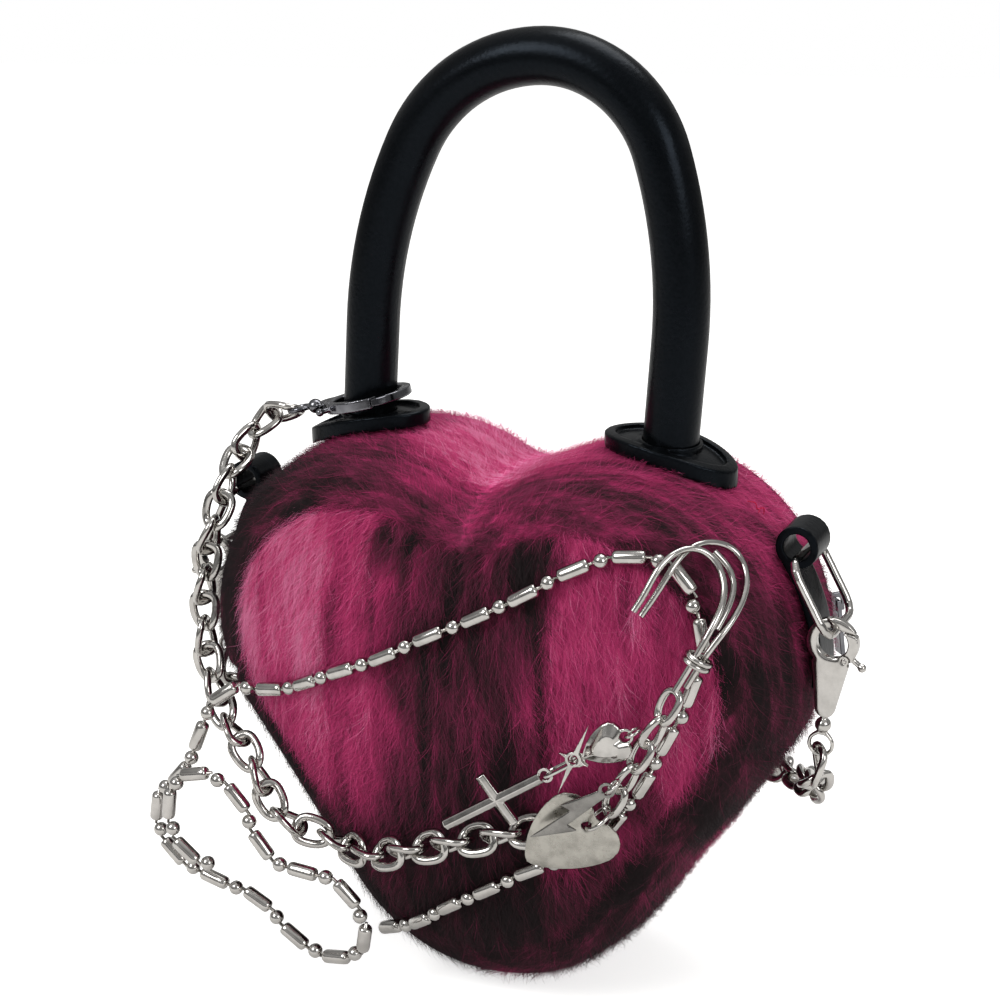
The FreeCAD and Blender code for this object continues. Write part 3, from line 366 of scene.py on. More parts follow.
gusset_cloth = cloth_piece("gusset_cloth", *(rows[::-1] for rows in gusset_rings()))
gusset_mohair = mohair(
    "brushed_mohair_plaid_gusset", (-250, 250), (-38, 38, "Y"),
    ((0.0, 0.6), (0.05, 0.35), (0.09, 0.15), (0.34, 0.26), (0.4, 0.5), (0.45, 1.0), (0.53, 1.0),
     (0.57, 0.8), (0.63, 0.8), (0.7, 0.56), (0.745, 0.26), (0.8, 0.22), (0.83, 0.6), (0.86, 0.5),
     (0.885, 0.18), (0.94, 0.22), (0.97, 0.6), (1.0, 0.65)),
    # Darker towards the front seam: painted shade where the lip rolls under to the panel.
    ((0.0, 0.25), (0.16, 0.3), (0.34, 0.95), (1.0, 1.0)),
    (1 / (14 * MM), 1 / (3 * MM), 1.0))
gusset_cloth.data.materials.append(gusset_mohair)
stands_for(gusset_cloth, "mohair", "bag", "gusset_upper", "gusset_lower")


# Cloth shell: back panel and flap. The same heart behind, a little flatter. On the bag its upper
# half is free along the zip and folds down at the level of the side seams; here the whole back is
# one fixed piece.

back_rings, back_top = crown_rings(1, back_crown)
back_flow = [np.tile(down, (len(ring), 1)) for ring in back_rings]
turned_rings = [ring[::-1] for ring in back_rings]
back_cloth = cloth_piece("back_cloth", turned_rings, flow=back_flow, top=back_top)
back_cloth.data.materials.append(panel_mohair)
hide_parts("back_panel_lower", "back_panel_upper")


# Pile. Mohair fibres teased out of the cloth with a wire brush: fine tapered hairs that lie
# along the nap and lift at their ends, with a few long wisps that stand off the lip.

rear_low, rear_high = -0.06, 0.22
least_size, most_size = 0.55, 1.35
tone_low, tone_high = -0.5, 0.5
hair_curl = 0.22
tip_width = 0.2


def grower(name, result, asked):
    """New tree that makes a piece, and the sockets of what it asks for."""
    tree = bpy.data.node_groups.new(name, "GeometryNodeTree")
    for label, kind in asked:
        tree.interface.new_socket(label, in_out="INPUT", socket_type="NodeSocket" + kind)
    tree.interface.new_socket(result, in_out="OUTPUT", socket_type="NodeSocketGeometry")
    return tree, add(tree, "NodeGroupInput")


def pile_tree():
    """Hairs over a cloth: a tapered, bent ribbon set on seeded points and turned along the nap."""
    tree, given = grower("brushed pile", "Pile", (
        ("Cloth", "Geometry"), ("Density", "Float"), ("Length", "Float"), ("Width", "Float"),
        ("Lift", "Float"), ("Spread", "Float"), ("Seed", "Int"), ("Material", "Material")))
    spots = add(tree, "GeometryNodeDistributePointsOnFaces",
                {"Mesh": given["Cloth"], "Density": given["Density"], "Seed": given["Seed"]})
    nap = add(tree, "GeometryNodeInputNamedAttribute", {"Name": "flow"}, data_type="FLOAT_VECTOR")[0]
    upright = add(tree, "FunctionNodeAlignRotationToVector", {"Vector": spots["Normal"]}, axis="Z")[0]
    combed = add(tree, "FunctionNodeAlignRotationToVector", {"Rotation": upright, "Vector": nap},
                 axis="Y", pivot_axis="Z")[0]
    minus = add(tree, "ShaderNodeMath", {0: given["Spread"], 1: -1.0}, operation="MULTIPLY")[0]
    stray = add(tree, "FunctionNodeRandomValue", {2: minus, 3: given["Spread"], "Seed": given["Seed"]},
                data_type="FLOAT")[1]
    rear = add(tree, "FunctionNodeRandomValue", {2: rear_low, 3: rear_high, "Seed": 7}, data_type="FLOAT")[1]
    turn = add(tree, "ShaderNodeCombineXYZ", {"X": rear, "Z": stray})[0]
    turn = add(tree, "FunctionNodeEulerToRotation", {0: turn})[0]
    set_out = add(tree, "FunctionNodeRotateRotation", {"Rotation": combed, "Rotate By": turn},
                  rotation_space="LOCAL")[0]
    hair = add(tree, "GeometryNodeMeshGrid", {"Size X": given["Width"], "Size Y": given["Length"],
                                              "Vertices X": 2, "Vertices Y": 3})["Mesh"]
    spot = add(tree, "ShaderNodeSeparateXYZ", {0: add(tree, "GeometryNodeInputPosition")[0]})
    along = add(tree, "ShaderNodeMath", {0: spot["Y"], 1: given["Length"]}, operation="DIVIDE")[0]
    along = add(tree, "ShaderNodeMath", {0: along, 1: 0.5}, operation="ADD")[0]
    taper = add(tree, "ShaderNodeMath", {0: along, 1: tip_width - 1, 2: 1.0}, operation="MULTIPLY_ADD")[0]
    bend = add(tree, "ShaderNodeMath", {0: along, 1: along}, operation="MULTIPLY")[0]
    bend = add(tree, "ShaderNodeMath", {0: bend, 1: given["Length"]}, operation="MULTIPLY")[0]
    aside = add(tree, "ShaderNodeMath", {0: bend, 1: hair_curl}, operation="MULTIPLY")[0]
    x = add(tree, "ShaderNodeMath", {0: spot["X"], 1: taper, 2: aside}, operation="MULTIPLY_ADD")[0]
    y = add(tree, "ShaderNodeMath", {0: along, 1: given["Length"]}, operation="MULTIPLY")[0]
    rise = add(tree, "ShaderNodeMath", {0: along, 1: -1.0, 2: 1.7}, operation="MULTIPLY_ADD")[0]
    rise = add(tree, "ShaderNodeMath", {0: rise, 1: along}, operation="MULTIPLY")[0]
    z = add(tree, "ShaderNodeMath", {0: rise, 1: given["Lift"]}, operation="MULTIPLY")[0]
    shape = add(tree, "ShaderNodeCombineXYZ", {"X": x, "Y": y, "Z": z})[0]
    hair = add(tree, "GeometryNodeSetPosition", {"Geometry": hair, "Position": shape})[0]
    sizes = add(tree, "FunctionNodeRandomValue", {2: least_size, 3: most_size, "Seed": 3},
                data_type="FLOAT")[1]
    flip = add(tree, "FunctionNodeRandomValue", {"Probability": 0.5, "Seed": 5}, data_type="BOOLEAN")[3]
    hand = add(tree, "ShaderNodeMath", {0: flip, 1: 2.0, 2: -1.0}, operation="MULTIPLY_ADD")[0]
    broad = add(tree, "ShaderNodeMath", {0: sizes, 1: hand}, operation="MULTIPLY")[0]
    scale = add(tree, "ShaderNodeCombineXYZ", {"X": broad, "Y": sizes, "Z": sizes})[0]
    hairs = add(tree, "GeometryNodeInstanceOnPoints", {"Points": spots["Points"], "Instance": hair,
                                                       "Rotation": set_out, "Scale": scale})[0]
    tone = add(tree, "FunctionNodeRandomValue", {2: tone_low, 3: tone_high, "Seed": 11}, data_type="FLOAT")[1]
    hairs = add(tree, "GeometryNodeStoreNamedAttribute", {"Geometry": hairs, "Name": "tint", "Value": tone},
                data_type="FLOAT", domain="INSTANCE")[0]
    plain = add(tree, "GeometryNodeRealizeInstances", {"Geometry": hairs})[0]
    dressed = add(tree, "GeometryNodeSetMaterial", {"Geometry": plain, "Material": given["Material"]})[0]
    add(tree, "NodeGroupOutput", {"Pile": dressed})
    return tree


def seen_mesh(name, base):
    """Plain mesh of an object as its modifiers leave it."""
    mesh = bpy.data.meshes.new_from_object(base.evaluated_get(bpy.context.evaluated_depsgraph_get()))
    mesh.name = name
    return mesh


def grown(name, base, tree, **values):
    """Plain mesh that a node tree makes from a base object."""
    shaper = base.modifiers.new(name, "NODES")
    shaper.node_group = tree
    for item in tree.interface.items_tree:
        if item.in_out == "INPUT" and item.name in values:
            shaper[item.identifier] = values[item.name]
    made = placed(name, seen_mesh(name, base))
    base.modifiers.remove(shaper)
    return made


pile = pile_tree()
area_mm2 = 1e6
# Name, cloth, hairs per mm2, length, width and lift in mm, spread in radians, seed and finish.
coats = (
    ("front_pile", front_cloth, 1.7, 8.0, 0.13, 0.8, 0.45, 1, panel_mohair),
    ("front_nap", front_cloth, 1.7, 5.0, 0.11, 1.0, 0.9, 6, panel_mohair),
    ("gusset_pile", gusset_cloth, 0.85, 7.0, 0.15, 0.9, 0.7, 2, gusset_mohair),
    ("gusset_nap", gusset_cloth, 0.85, 5.0, 0.12, 1.2, 1.3, 7, gusset_mohair),
    ("back_pile", back_cloth, 1.6, 7.0, 0.15, 0.9, 0.5, 3, panel_mohair),
    ("front_wisps", front_cloth, 0.09, 10.0, 0.09, 1.5, 1.2, 4, panel_mohair),
    ("gusset_wisps", gusset_cloth, 0.1, 6.5, 0.09, 1.6, 1.8, 5, gusset_mohair),
)
for coat_name, cloth, per_mm2, length, width, lift, spread, seed, coat_finish in coats:
    coat = grown(coat_name, cloth, pile, Density=per_mm2 * area_mm2, Length=length * MM, Width=width * MM,
                 Lift=lift * MM, Spread=spread, Seed=seed, Material=coat_finish)
    coat.data.shade_smooth()
    if cloth is back_cloth:
        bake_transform(coat)
    else:
        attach(coat, "bag")
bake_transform(back_cloth)


# Lining. A plain black cotton bag sewn inside the shell along the zip, and a facing of the
# same cotton behind the flap, seen only when the flap is open.

lining_inset = 6.5
front_inner, inner_top = crown_rings(-1, front_crown, inset=lining_inset)
lining_rings = gusset_rings(inset=lining_inset)[0][::-1] + front_inner
lining_cloth = cloth_piece("lining_cloth", lining_rings, top=inner_top)


def woven(name, colour, raised, thread):
    """Plain weave of cotton or nylon: crossing threads that show as a fine grid."""
    material, tree, shader = finish_named(name)
    place = add(tree, "ShaderNodeTexCoord")["Object"]
    threads = []
    for axis in ("X", "Z"):
        threads.append(add(tree, "ShaderNodeTexWave",
                           {"Vector": place, "Scale": 1 / (thread * MM * 2 * math.pi)},
                           wave_type="BANDS", bands_direction=axis)["Fac"])
    grid = add(tree, "ShaderNodeMath", {0: threads[0], 1: threads[1]}, operation="MAXIMUM")[0]
    tone = add(tree, "ShaderNodeValToRGB", {0: grid}, stops=((0.0, srgb(colour)), (1.0, srgb(raised))))[0]
    relief = add(tree, "ShaderNodeBump", {"Height": grid, "Strength": 0.4, "Distance": 0.2 * MM})[0]
    feed(tree, shader, {"Base Color": tone, "Normal": relief, "Roughness": 0.8, "Specular IOR Level": 0.2})
    return material


black_cotton = woven("plain_woven_cotton", "#141214", "#252124", 0.9)
lining_cloth.data.materials.append(black_cotton)
stands_for(lining_cloth, "lining_cloth", "bag", "lining")
facing_inset = 2.0
facing_rings, facing_top = crown_rings(1, back_crown, inset=facing_inset)
flap_facing = cloth_piece("flap_facing", facing_rings, top=facing_top)
flap_facing.data.materials.append(black_cotton)
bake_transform(flap_facing)


# Zip. Two black woven tapes, each with a row of nylon teeth, between the upper gusset and
# the flap. A small metal slider rides on the teeth and ends against metal stops.

tape_low, tape_middle, tape_high = 26.5, 34.0, 38.6
tape_gap, tape_thickness, tape_end = 0.4, 0.8, 2.0
tape_sink, tape_bury = 1.0, 0.4
tooth_step, tooth_offset, tooth_end = 2.2, 0.75, 6
tooth_sizes, tooth_rounding = (1.3, 1.9, 2.0), 0.4
tooth_sink = 0.9
upper_order = np.argsort(seam_runs)
upper_order = upper_order[np.abs(seam_runs[upper_order]) < side_seam_run - tape_end]


def bulged(y, grow):
    """Run of points round the upper gusset at one depth, stood out from its bulge, in mm."""
    bulge = gusset_bulge * max(0.0, 1 - abs(y / seam_y) ** bulge_power) ** (1 / bulge_power) + grow
    place = seam_places[upper_order] + seam_normals[upper_order] * bulge
    return np.column_stack([place[:, 0], np.full(len(place), y), place[:, 1]])


nylon_tape = woven("woven_nylon_tape", "#0b0a0c", "#211f22", 1.0)
for tape_name, low, high, body, node_name in (
        ("zip_tape_fixed", tape_low, tape_middle - tape_gap, "bag", "zip_tape_gusset"),
        ("zip_tape_moving", tape_middle + tape_gap, tape_high, "flap", "zip_tape_flap")):
    strip = [bulged(min(y, seam_y), -tape_sink - pile_depth * tape_bury) for y in np.linspace(low, high, 5)]
    tape = cloth_piece(tape_name, strip, closed=False)
    tape.data.materials.append(nylon_tape)
    wall = tape.modifiers.new("thickness", "SOLIDIFY")
    wall.thickness = tape_thickness * MM
    wall.offset = 0.0
    stands_for(tape, "zip_cloth", body, node_name)


def set_tree():
    """One shape set on every point of a mesh, turned by the point's own angles."""
    tree, given = grower("set pieces", "Row", (
        ("Places", "Geometry"), ("Piece", "Object"), ("Material", "Material")))
    piece = add(tree, "GeometryNodeObjectInfo", {"Object": given["Piece"]})["Geometry"]
    turn = add(tree, "GeometryNodeInputNamedAttribute", {"Name": "turn"}, data_type="FLOAT_VECTOR")[0]
    turn = add(tree, "FunctionNodeEulerToRotation", {0: turn})[0]
    row = add(tree, "GeometryNodeInstanceOnPoints",
              {"Points": given["Places"], "Instance": piece, "Rotation": turn})[0]
    row = add(tree, "GeometryNodeRealizeInstances", {"Geometry": row})[0]
    row = add(tree, "GeometryNodeSetMaterial", {"Geometry": row, "Material": given["Material"]})[0]
    add(tree, "NodeGroupOutput", {"Row": row})
    return tree


pieces_in_row = set_tree()


def row_of(name, places, shape, material):
    """Copies of a small mesh at places, each a turned matrix in metres, as one smooth piece."""
    spots = bpy.data.meshes.new(name + "_places")
    spots.from_pydata([tuple(place.translation) for place in places], [], [])
    layer = spots.attributes.new("turn", "FLOAT_VECTOR", "POINT")
    turns = [tuple(place.to_euler()) for place in places]
    layer.data.foreach_set("vector", np.array(turns, np.float32).ravel())
    base = placed(name + "_places", spots)
    pattern = placed(name + "_pattern", shape)
    made = grown(name, base, pieces_in_row, Piece=pattern, Material=material)
    made.data.shade_smooth()
    bpy.data.objects.remove(base)
    bpy.data.objects.remove(pattern)
    return made


def axes_matrix(x_axis, y_axis, place):
    """Right-handed turn with these two axes, at a place."""
    x_axis = Vector(x_axis).normalized()
    z_axis = x_axis.cross(Vector(y_axis)).normalized()
    y_axis = z_axis.cross(x_axis)
    turned = Matrix((x_axis, y_axis, z_axis)).transposed().to_4x4()
    turned.translation = Vector(place)
    return turned


def rounded_box(name, sizes, rounding):
    """Small box with softened edges, about its middle, in mm."""
    shape = bmesh.new()
    bmesh.ops.create_cube(shape, size=1.0)
    bmesh.ops.scale(shape, vec=Vector(sizes) * MM, verts=shape.verts)
    bmesh.ops.bevel(shape, geom=shape.edges[:], offset=rounding * MM, segments=2, affect="EDGES", profile=0.6)
    mesh = bpy.data.meshes.new(name)
    shape.to_mesh(mesh)
    shape.free()
    return mesh


def nylon(name, colour):
    """Moulded nylon: smooth with a soft gloss and faint mould texture."""
    material, tree, shader = finish_named(name)
    place = add(tree, "ShaderNodeTexCoord")["Object"]
    cast = add(tree, "ShaderNodeTexNoise", {"Vector": place, "Scale": 1 / (0.8 * MM)})[0]
    gloss = add(tree, "ShaderNodeMapRange", {0: cast, 3: 0.32, 4: 0.5})[0]
    feed(tree, shader, {"Base Color": srgb(colour), "Roughness": gloss})
    return material


black_nylon = nylon("moulded_nylon_teeth", "#121113")
for row_name, y, body, node_name in (
        ("zip_teeth_fixed", tape_middle - tooth_offset, "bag", "zip_coil_gusset"),
        ("zip_teeth_moving", tape_middle + tooth_offset, "flap", "zip_coil_flap")):
    line = bulged(y, -tooth_sink - tape_sink)
    runs = seam_runs[upper_order]
    teeth = []
    for run in np.arange(runs[0] + tooth_end, runs[-1] - tooth_end, tooth_step):
        spot = [float(np.interp(run, runs, line[:, k])) for k in range(3)]
        out = [float(np.interp(run, runs, seam_normals[upper_order][:, k])) for k in range(2)]
        place = Vector((spot[0] + middle_x, spot[1], spot[2])) * MM
        teeth.append(axes_matrix((out[1], 0, -out[0]), (0, 1, 0), place))
    teeth_row = row_of(row_name, teeth, rounded_box("tooth", tooth_sizes, tooth_rounding), black_nylon)
    stands_for(teeth_row, "zip_cloth", body, node_name)


def plated(name, colour, low, high, worn):
    """Polished plating over cast or drawn metal: mirror bright, with faint smears and a brushed haze
    that widen the highlights, and a thin darker film in patches along the smears."""
    material, tree, shader = finish_named(name)
    place = add(tree, "ShaderNodeTexCoord")["Object"]
    smear = add(tree, "ShaderNodeTexNoise",
                {"Vector": place, "Scale": 1 / (5 * MM), "Detail": 4.0, "Roughness": 0.6})[0]
    gloss = add(tree, "ShaderNodeMapRange", {0: smear, 1: 0.3, 2: 0.7, 3: low, 4: high})[0]
    tone = add(tree, "ShaderNodeValToRGB", {0: smear}, stops=((0.3, srgb(worn)), (0.6, srgb(colour))))[0]
    dents = add(tree, "ShaderNodeTexNoise", {"Vector": place, "Scale": 1 / (3.5 * MM), "Detail": 1.0})[0]
    relief = add(tree, "ShaderNodeBump", {"Height": dents, "Strength": 0.12, "Distance": 0.3 * MM})[0]
    feed(tree, shader, {"Base Color": tone, "Roughness": gloss, "Normal": relief, "Metallic": 1.0})
    return material


nickel = plated("polished_nickel_plate", "#c4c1bd", 0.08, 0.2, "#b0ada9")
gunmetal = plated("dark_nickel_plate", "#7c7c80", 0.1, 0.22, "#5d5d62")


def rounded_copy(name, node_name, voxel, passes, material, slot, lie=None, dome=0, levels=0):
    """A node's form with its edges softened as casting and tumbling leave them. Where the way it
    lies is given its flat faces are domed too, and levels rounds a bent wire's corners."""
    shape = bmesh.new()
    shape.from_mesh(nodes[node_name].data)
    bmesh.ops.remove_doubles(shape, verts=shape.verts, dist=1e-6)
    mesh = bpy.data.meshes.new(name)
    shape.to_mesh(mesh)
    shape.free()
    if lie:
        mesh.transform(lie.inverted())
    rough = placed(name + "_rough", mesh)
    if levels:
        finer = rough.modifiers.new("finer", "SUBSURF")
        finer.levels = finer.render_levels = levels
    remesh = rough.modifiers.new("remesh", "REMESH")
    remesh.mode = "VOXEL"
    remesh.voxel_size = voxel * MM
    soften = rough.modifiers.new("soften", "SMOOTH")
    soften.factor = 0.5
    soften.iterations = passes
    if lie:
        swell = rough.modifiers.new("swell", "SMOOTH")
        swell.factor = 0.5
        swell.iterations = dome
        swell.use_x = swell.use_y = False
    made = placed(name, seen_mesh(name, rough))
    if lie:
        thickness = [max(abs(vertex.co.z) for vertex in form.vertices) for form in (mesh, made.data)]
        made.data.transform(lie @ Matrix.Diagonal((1.0, 1.0, thickness[0] / thickness[1], 1.0)))
    bpy.data.objects.remove(rough)
    made.data.materials.clear()
    made.data.materials.append(material)
    made.data.shade_smooth()
    stands_for(made, slot, nodes[node_name]["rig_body"], node_name)
    return made


for node_name in ("zip_slider", "zip_puller", "zip_stops"):
    rounded_copy(node_name + "_metal", node_name, 0.18, 3, gunmetal, "steel")


# Handle. A stiff arch rolled in black grained leatherette, glued round a core. Each leg goes
# through an oval foot with a raised rim, screwed to a plate inside the bag. The side tabs
# are cut from the same leatherette.

def leatherette(name, colour, high, grain_mm):
    """Grained polyurethane leather: small rounded pebbles pressed into a glossy black coat, with
    creases between them that look greyer under a soft light."""
    material, tree, shader = finish_named(name)
    place = add(tree, "ShaderNodeTexCoord")["Object"]
    wobble = add(tree, "ShaderNodeTexNoise",
                 {"Vector": place, "Scale": 1 / (3 * MM), "Detail": 2.0})["Color"]
    pushed = add(tree, "ShaderNodeVectorMath", {0: wobble, 1: (0.9 * MM,) * 3, 2: place},
                 operation="MULTIPLY_ADD")[0]
    pebbles = add(tree, "ShaderNodeTexVoronoi", {"Vector": pushed, "Scale": 1 / (grain_mm * MM)},
                  feature="SMOOTH_F1")["Distance"]
    tone = add(tree, "ShaderNodeValToRGB", {0: pebbles}, stops=((0.2, srgb(colour)), (0.8, srgb(high))))[0]
    wear = add(tree, "ShaderNodeTexNoise", {"Vector": place, "Scale": 1 / (14 * MM), "Detail": 3.0})[0]
    gloss = add(tree, "ShaderNodeMapRange", {0: wear, 1: 0.3, 2: 0.7, 3: 0.24, 4: 0.34})[0]
    relief = add(tree, "ShaderNodeBump", {"Height": pebbles, "Strength": 0.25, "Distance": 0.18 * MM},
                 invert=True)[0]
    feed(tree, shader, {"Base Color": tone, "Roughness": gloss, "Normal": relief,
                        "Specular IOR Level": 0.14, "Specular Tint": srgb("#b9cbe0")})
    return material


black_leather = leatherette("grained_black_leatherette", "#040506", "#08090b", 1.1)
for side in ("left", "right"):
    foot, tab = "handle_foot_" + side, "side_tab_" + side
    rounded_copy(foot + "_leather", foot, 0.45, 4, black_leather, "black_leather")
    rounded_copy(tab + "_leather", tab, 0.35, 5, black_leather, "black_leather")
core_plastic = nylon("moulded_core_plastic", "#1b1b1c")
for node_name, finish in (("handle_cover", black_leather), ("handle_core", core_plastic),
                          ("handle_backing_plates", core_plastic), ("handle_screws", gunmetal)):
    nodes[node_name].data.materials.clear()
    nodes[node_name].data.materials.append(finish)


# Side links and clasps. Bent wire links hang in the leather tabs. Cast lobster clasps with a
# sprung gate hook on to them, and a third, darker one grips the left leg of the handle.

def solids_of(node_name):
    """Each separate solid of a node: its points in metres and each point's neighbours."""
    shape = bmesh.new()
    shape.from_mesh(nodes[node_name].data)
    bmesh.ops.remove_doubles(shape, verts=shape.verts, dist=2e-6)
    seen, found = set(), []
    for start in shape.verts:
        if start in seen:
            continue
        seen.add(start)
        group, waiting = [], [start]
        while waiting:
            point = waiting.pop()
            group.append(point)
            for edge in point.link_edges:
                other = edge.other_vert(point)
                if other not in seen:
                    seen.add(other)
                    waiting.append(other)
        order = {point: k for k, point in enumerate(group)}
        near = [[order[edge.other_vert(point)] for edge in point.link_edges] for point in group]
        found.append((np.array([tuple(point.co) for point in group]), near))
    shape.free()
    return found


def lie_of(points):
    """Place and turn of a solid, with its longest way along X and its shortest along Z, and its sizes."""
    centre = (points.max(axis=0) + points.min(axis=0)) / 2
    ways = np.linalg.svd(points - points.mean(axis=0), full_matrices=False)[2]
    spans = (points - centre) @ ways.T
    middle = centre + ((spans.max(axis=0) + spans.min(axis=0)) / 2) @ ways
    sizes = spans.max(axis=0) - spans.min(axis=0)
    order = np.argsort(-sizes)
    return axes_matrix(ways[order[0]], ways[order[1]], middle), sizes[order]


for side in ("left", "right"):
    rounded_copy("side_link_" + side + "_wire", "side_link_" + side, 0.3, 3, nickel, "steel")
for clasp, metal, clasp_slot in (("clasp_left_", nickel, "steel"), ("clasp_right_", nickel, "steel"),
                                 ("handle_clasp_", gunmetal, "gunmetal")):
    body_lie = lie_of(solids_of(clasp + "body")[0][0])[0]
    rounded_copy(clasp + "body_cast", clasp + "body", 0.26, 4, metal, clasp_slot, lie=body_lie, dome=120)
    rounded_copy(clasp + "swivel_cast", clasp + "swivel", 0.2, 6, metal, clasp_slot, levels=2)
    for part in ("gate", "gate_pin"):
        rounded_copy(clasp + part + "_cast", clasp + part, 0.26, 4, metal, clasp_slot)


# Chains. Oval links of drawn and plated wire, each through the next: one chain from the
# handle clasp down the left side and over the front, one behind from side to side.

def outward(name, points, faces):
    """Closed mesh from points in metres, with its faces turned outwards."""
    mesh = bpy.data.meshes.new(name)
    mesh.from_pydata(points, [], faces)
    shape = bmesh.new()
    shape.from_mesh(mesh)
    bmesh.ops.recalc_face_normals(shape, faces=shape.faces)
    shape.to_mesh(mesh)
    shape.free()
    return mesh


def wire_loop(name, half_long, half_wide, wire, twist, steps=28, sides=10, flat=1.0, square=0.82):
    """Closed wire link in its own plane, with a twist that lifts its corners, in mm."""
    angles = np.linspace(0, 2 * math.pi, steps, endpoint=False)
    round_x = np.sign(np.cos(angles)) * np.abs(np.cos(angles)) ** square * half_long
    round_y = np.sign(np.sin(angles)) * np.abs(np.sin(angles)) ** square * half_wide
    path = np.column_stack([round_x, round_y, twist * np.sin(2 * angles)])
    ahead = np.roll(path, -1, axis=0) - np.roll(path, 1, axis=0)
    ahead /= np.linalg.norm(ahead, axis=1)[:, None]
    out = path - ahead * np.sum(path * ahead, axis=1)[:, None]
    out[:, 2] *= 0.2
    out -= ahead * np.sum(out * ahead, axis=1)[:, None]
    out /= np.linalg.norm(out, axis=1)[:, None]
    up = np.cross(ahead, out)
    points, faces = [], []
    for k in range(steps):
        for j in range(sides):
            turn = 2 * math.pi * j / sides
            spot = path[k] + out[k] * (wire * math.cos(turn)) + up[k] * (wire * flat * math.sin(turn))
            points.append(tuple(spot * MM))
            a, b = k * sides + j, k * sides + (j + 1) % sides
            c = ((k + 1) % steps) * sides
            faces.append((a, c + j, c + (j + 1) % sides, b))
    return outward(name, points, faces)


curb_link = wire_loop("curb_link", 5.75, 4.2, 1.42, 0.9, flat=0.82)
cable_link = wire_loop("cable_link", 5.0, 3.0, 1.15, 0.3)
for chain_name, ending, link in (
        ("charm_chain", "_links", curb_link), ("shoulder_chain", "_links", curb_link),
        ("cable_links", "_wire", cable_link), ("cable_end_links", "_wire", cable_link)):
    links = [lie_of(points)[0] for points, near in solids_of(chain_name)]
    chain = row_of(chain_name + ending, links, link, nickel)
    stands_for(chain, "steel", nodes[chain_name]["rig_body"], chain_name)


# Bead chain. Hollow balls and short bars of thin plated sheet, crimped on a hidden wire. The
# strand crosses the front, runs behind the hook and the charms and ends in a loose tangle.

def spun(name, profile, sides=16):
    """Solid of revolution along X from (place, radius) pairs in mm."""
    points, faces = [], []
    for along, radius in profile:
        for j in range(sides):
            turn = 2 * math.pi * j / sides
            points.append((along * MM, radius * math.cos(turn) * MM, radius * math.sin(turn) * MM))
    for k in range(len(profile) - 1):
        for j in range(sides):
            a, b = k * sides + j, k * sides + (j + 1) % sides
            faces.append((a, a + sides, b + sides, b))
    faces.append(tuple(range(sides)))
    faces.append(tuple(reversed(range(len(points) - sides, len(points)))))
    return outward(name, points, faces)


ball_radius = 2.35
shortest_bar = 8.0
ball_steps = np.linspace(-75, 75, 9) * math.pi / 180
ball_shape = spun("bead_ball", [(ball_radius * math.sin(t), ball_radius * math.cos(t)) for t in ball_steps])
bar_end = [(6.6, 0.5), (4.95, 0.55), (4.9, 1.3), (4.65, 1.8), (4.2, 2.1), (3.3, 2.2), (0.0, 2.2)]
bar_start = [(-along, radius) for along, radius in bar_end]
bar_shape = spun("bead_bar", bar_start + list(reversed(bar_end[:-1])))
balls, bars = [], []
for points, near in solids_of("bead_chain"):
    lie, sizes = lie_of(points)
    (bars if sizes[0] > shortest_bar * MM else balls).append(lie)
for part_name, places, shape in (("bead_chain_balls", balls, ball_shape),
                                 ("bead_chain_bars", bars, bar_shape)):
    beads = row_of(part_name, places, shape, nickel)
    stands_for(beads, "steel", "bag", "bead_chain")


# Hook. Three hard wires bent into one open hook and bound at the neck by two turns of wire.
# Small rings of finer wire carry the charms.

def centre_line(points, near, radius):
    """Middle of a many-sided wire from one end to the other, in metres."""
    def layers(starts):
        reached, front, rings = set(starts), list(starts), [list(starts)]
        while front:
            front = sorted({n for k in front for n in near[k]} - reached)
            reached.update(front)
            if front:
                rings.append(front)
        return rings
    far = layers([0])[-1][0]
    end = [k for k in range(len(points)) if np.linalg.norm(points[k] - points[far]) < 2.1 * radius * MM]
    return [points[ring].mean(axis=0) for ring in layers(end)]


def bent_wire(name, line, radius):
    """Smooth round wire with closed ends along a line."""
    curve = bpy.data.curves.new(name, "CURVE")
    curve.dimensions = "3D"
    curve.bevel_depth = radius * MM
    curve.bevel_resolution = 4
    curve.resolution_u = 6
    curve.use_fill_caps = True
    spline = curve.splines.new("NURBS")
    spline.points.add(len(line) - 1)
    for point, spot in zip(spline.points, line):
        point.co = (*spot, 1.0)
    spline.order_u = 3
    spline.use_endpoint_u = True
    drawn = placed(name + "_curve", curve)
    mesh = seen_mesh(name, drawn)
    bpy.data.objects.remove(drawn)
    mesh.shade_smooth()
    return placed(name, mesh)


def eased(line, step, passes):
    """The same run in even steps, with its kinks drawn out as a bending jig leaves them."""
    line = np.array(line)
    steps = np.concatenate([[0.0], np.cumsum(np.linalg.norm(np.diff(line, axis=0), axis=1))])
    even = np.linspace(0, steps[-1], max(5, round(steps[-1] / (step * MM))))
    line = np.column_stack([np.interp(even, steps, line[:, k]) for k in range(3)])
    for _ in range(passes):
        line[1:-1] = (line[:-2] + 2 * line[1:-1] + line[2:]) / 4
    return line


hook_radius = 0.95
hook_step, hook_passes = 2.8, 4
for k, (points, near) in enumerate(solids_of("hook_wires")):
    line = eased(centre_line(points, near, hook_radius), hook_step, hook_passes)
    wire = bent_wire("hook_wire_" + str(k + 1), line, hook_radius)
    wire.data.materials.append(nickel)
    stands_for(wire, "steel", "bag", "hook_wires")
for ring_name, body, wire in (("hook_binding", "bag", 0.8), ("small_heart_ring", "bag", 0.45),
                              ("heart_tag_ring", "charm_end", 0.6), ("bolt_ring", "charm_end", 0.45)):
    solids = [lie_of(points) for points, near in solids_of(ring_name)]
    middle = solids[0][1][1] / MM / 2 - wire
    rings = row_of(ring_name + "_wire", [lie for lie, sizes in solids],
                   wire_loop(ring_name + "_loop", middle, middle, wire, 0.0, square=1.0), nickel)
    stands_for(rings, "steel", body, ring_name)


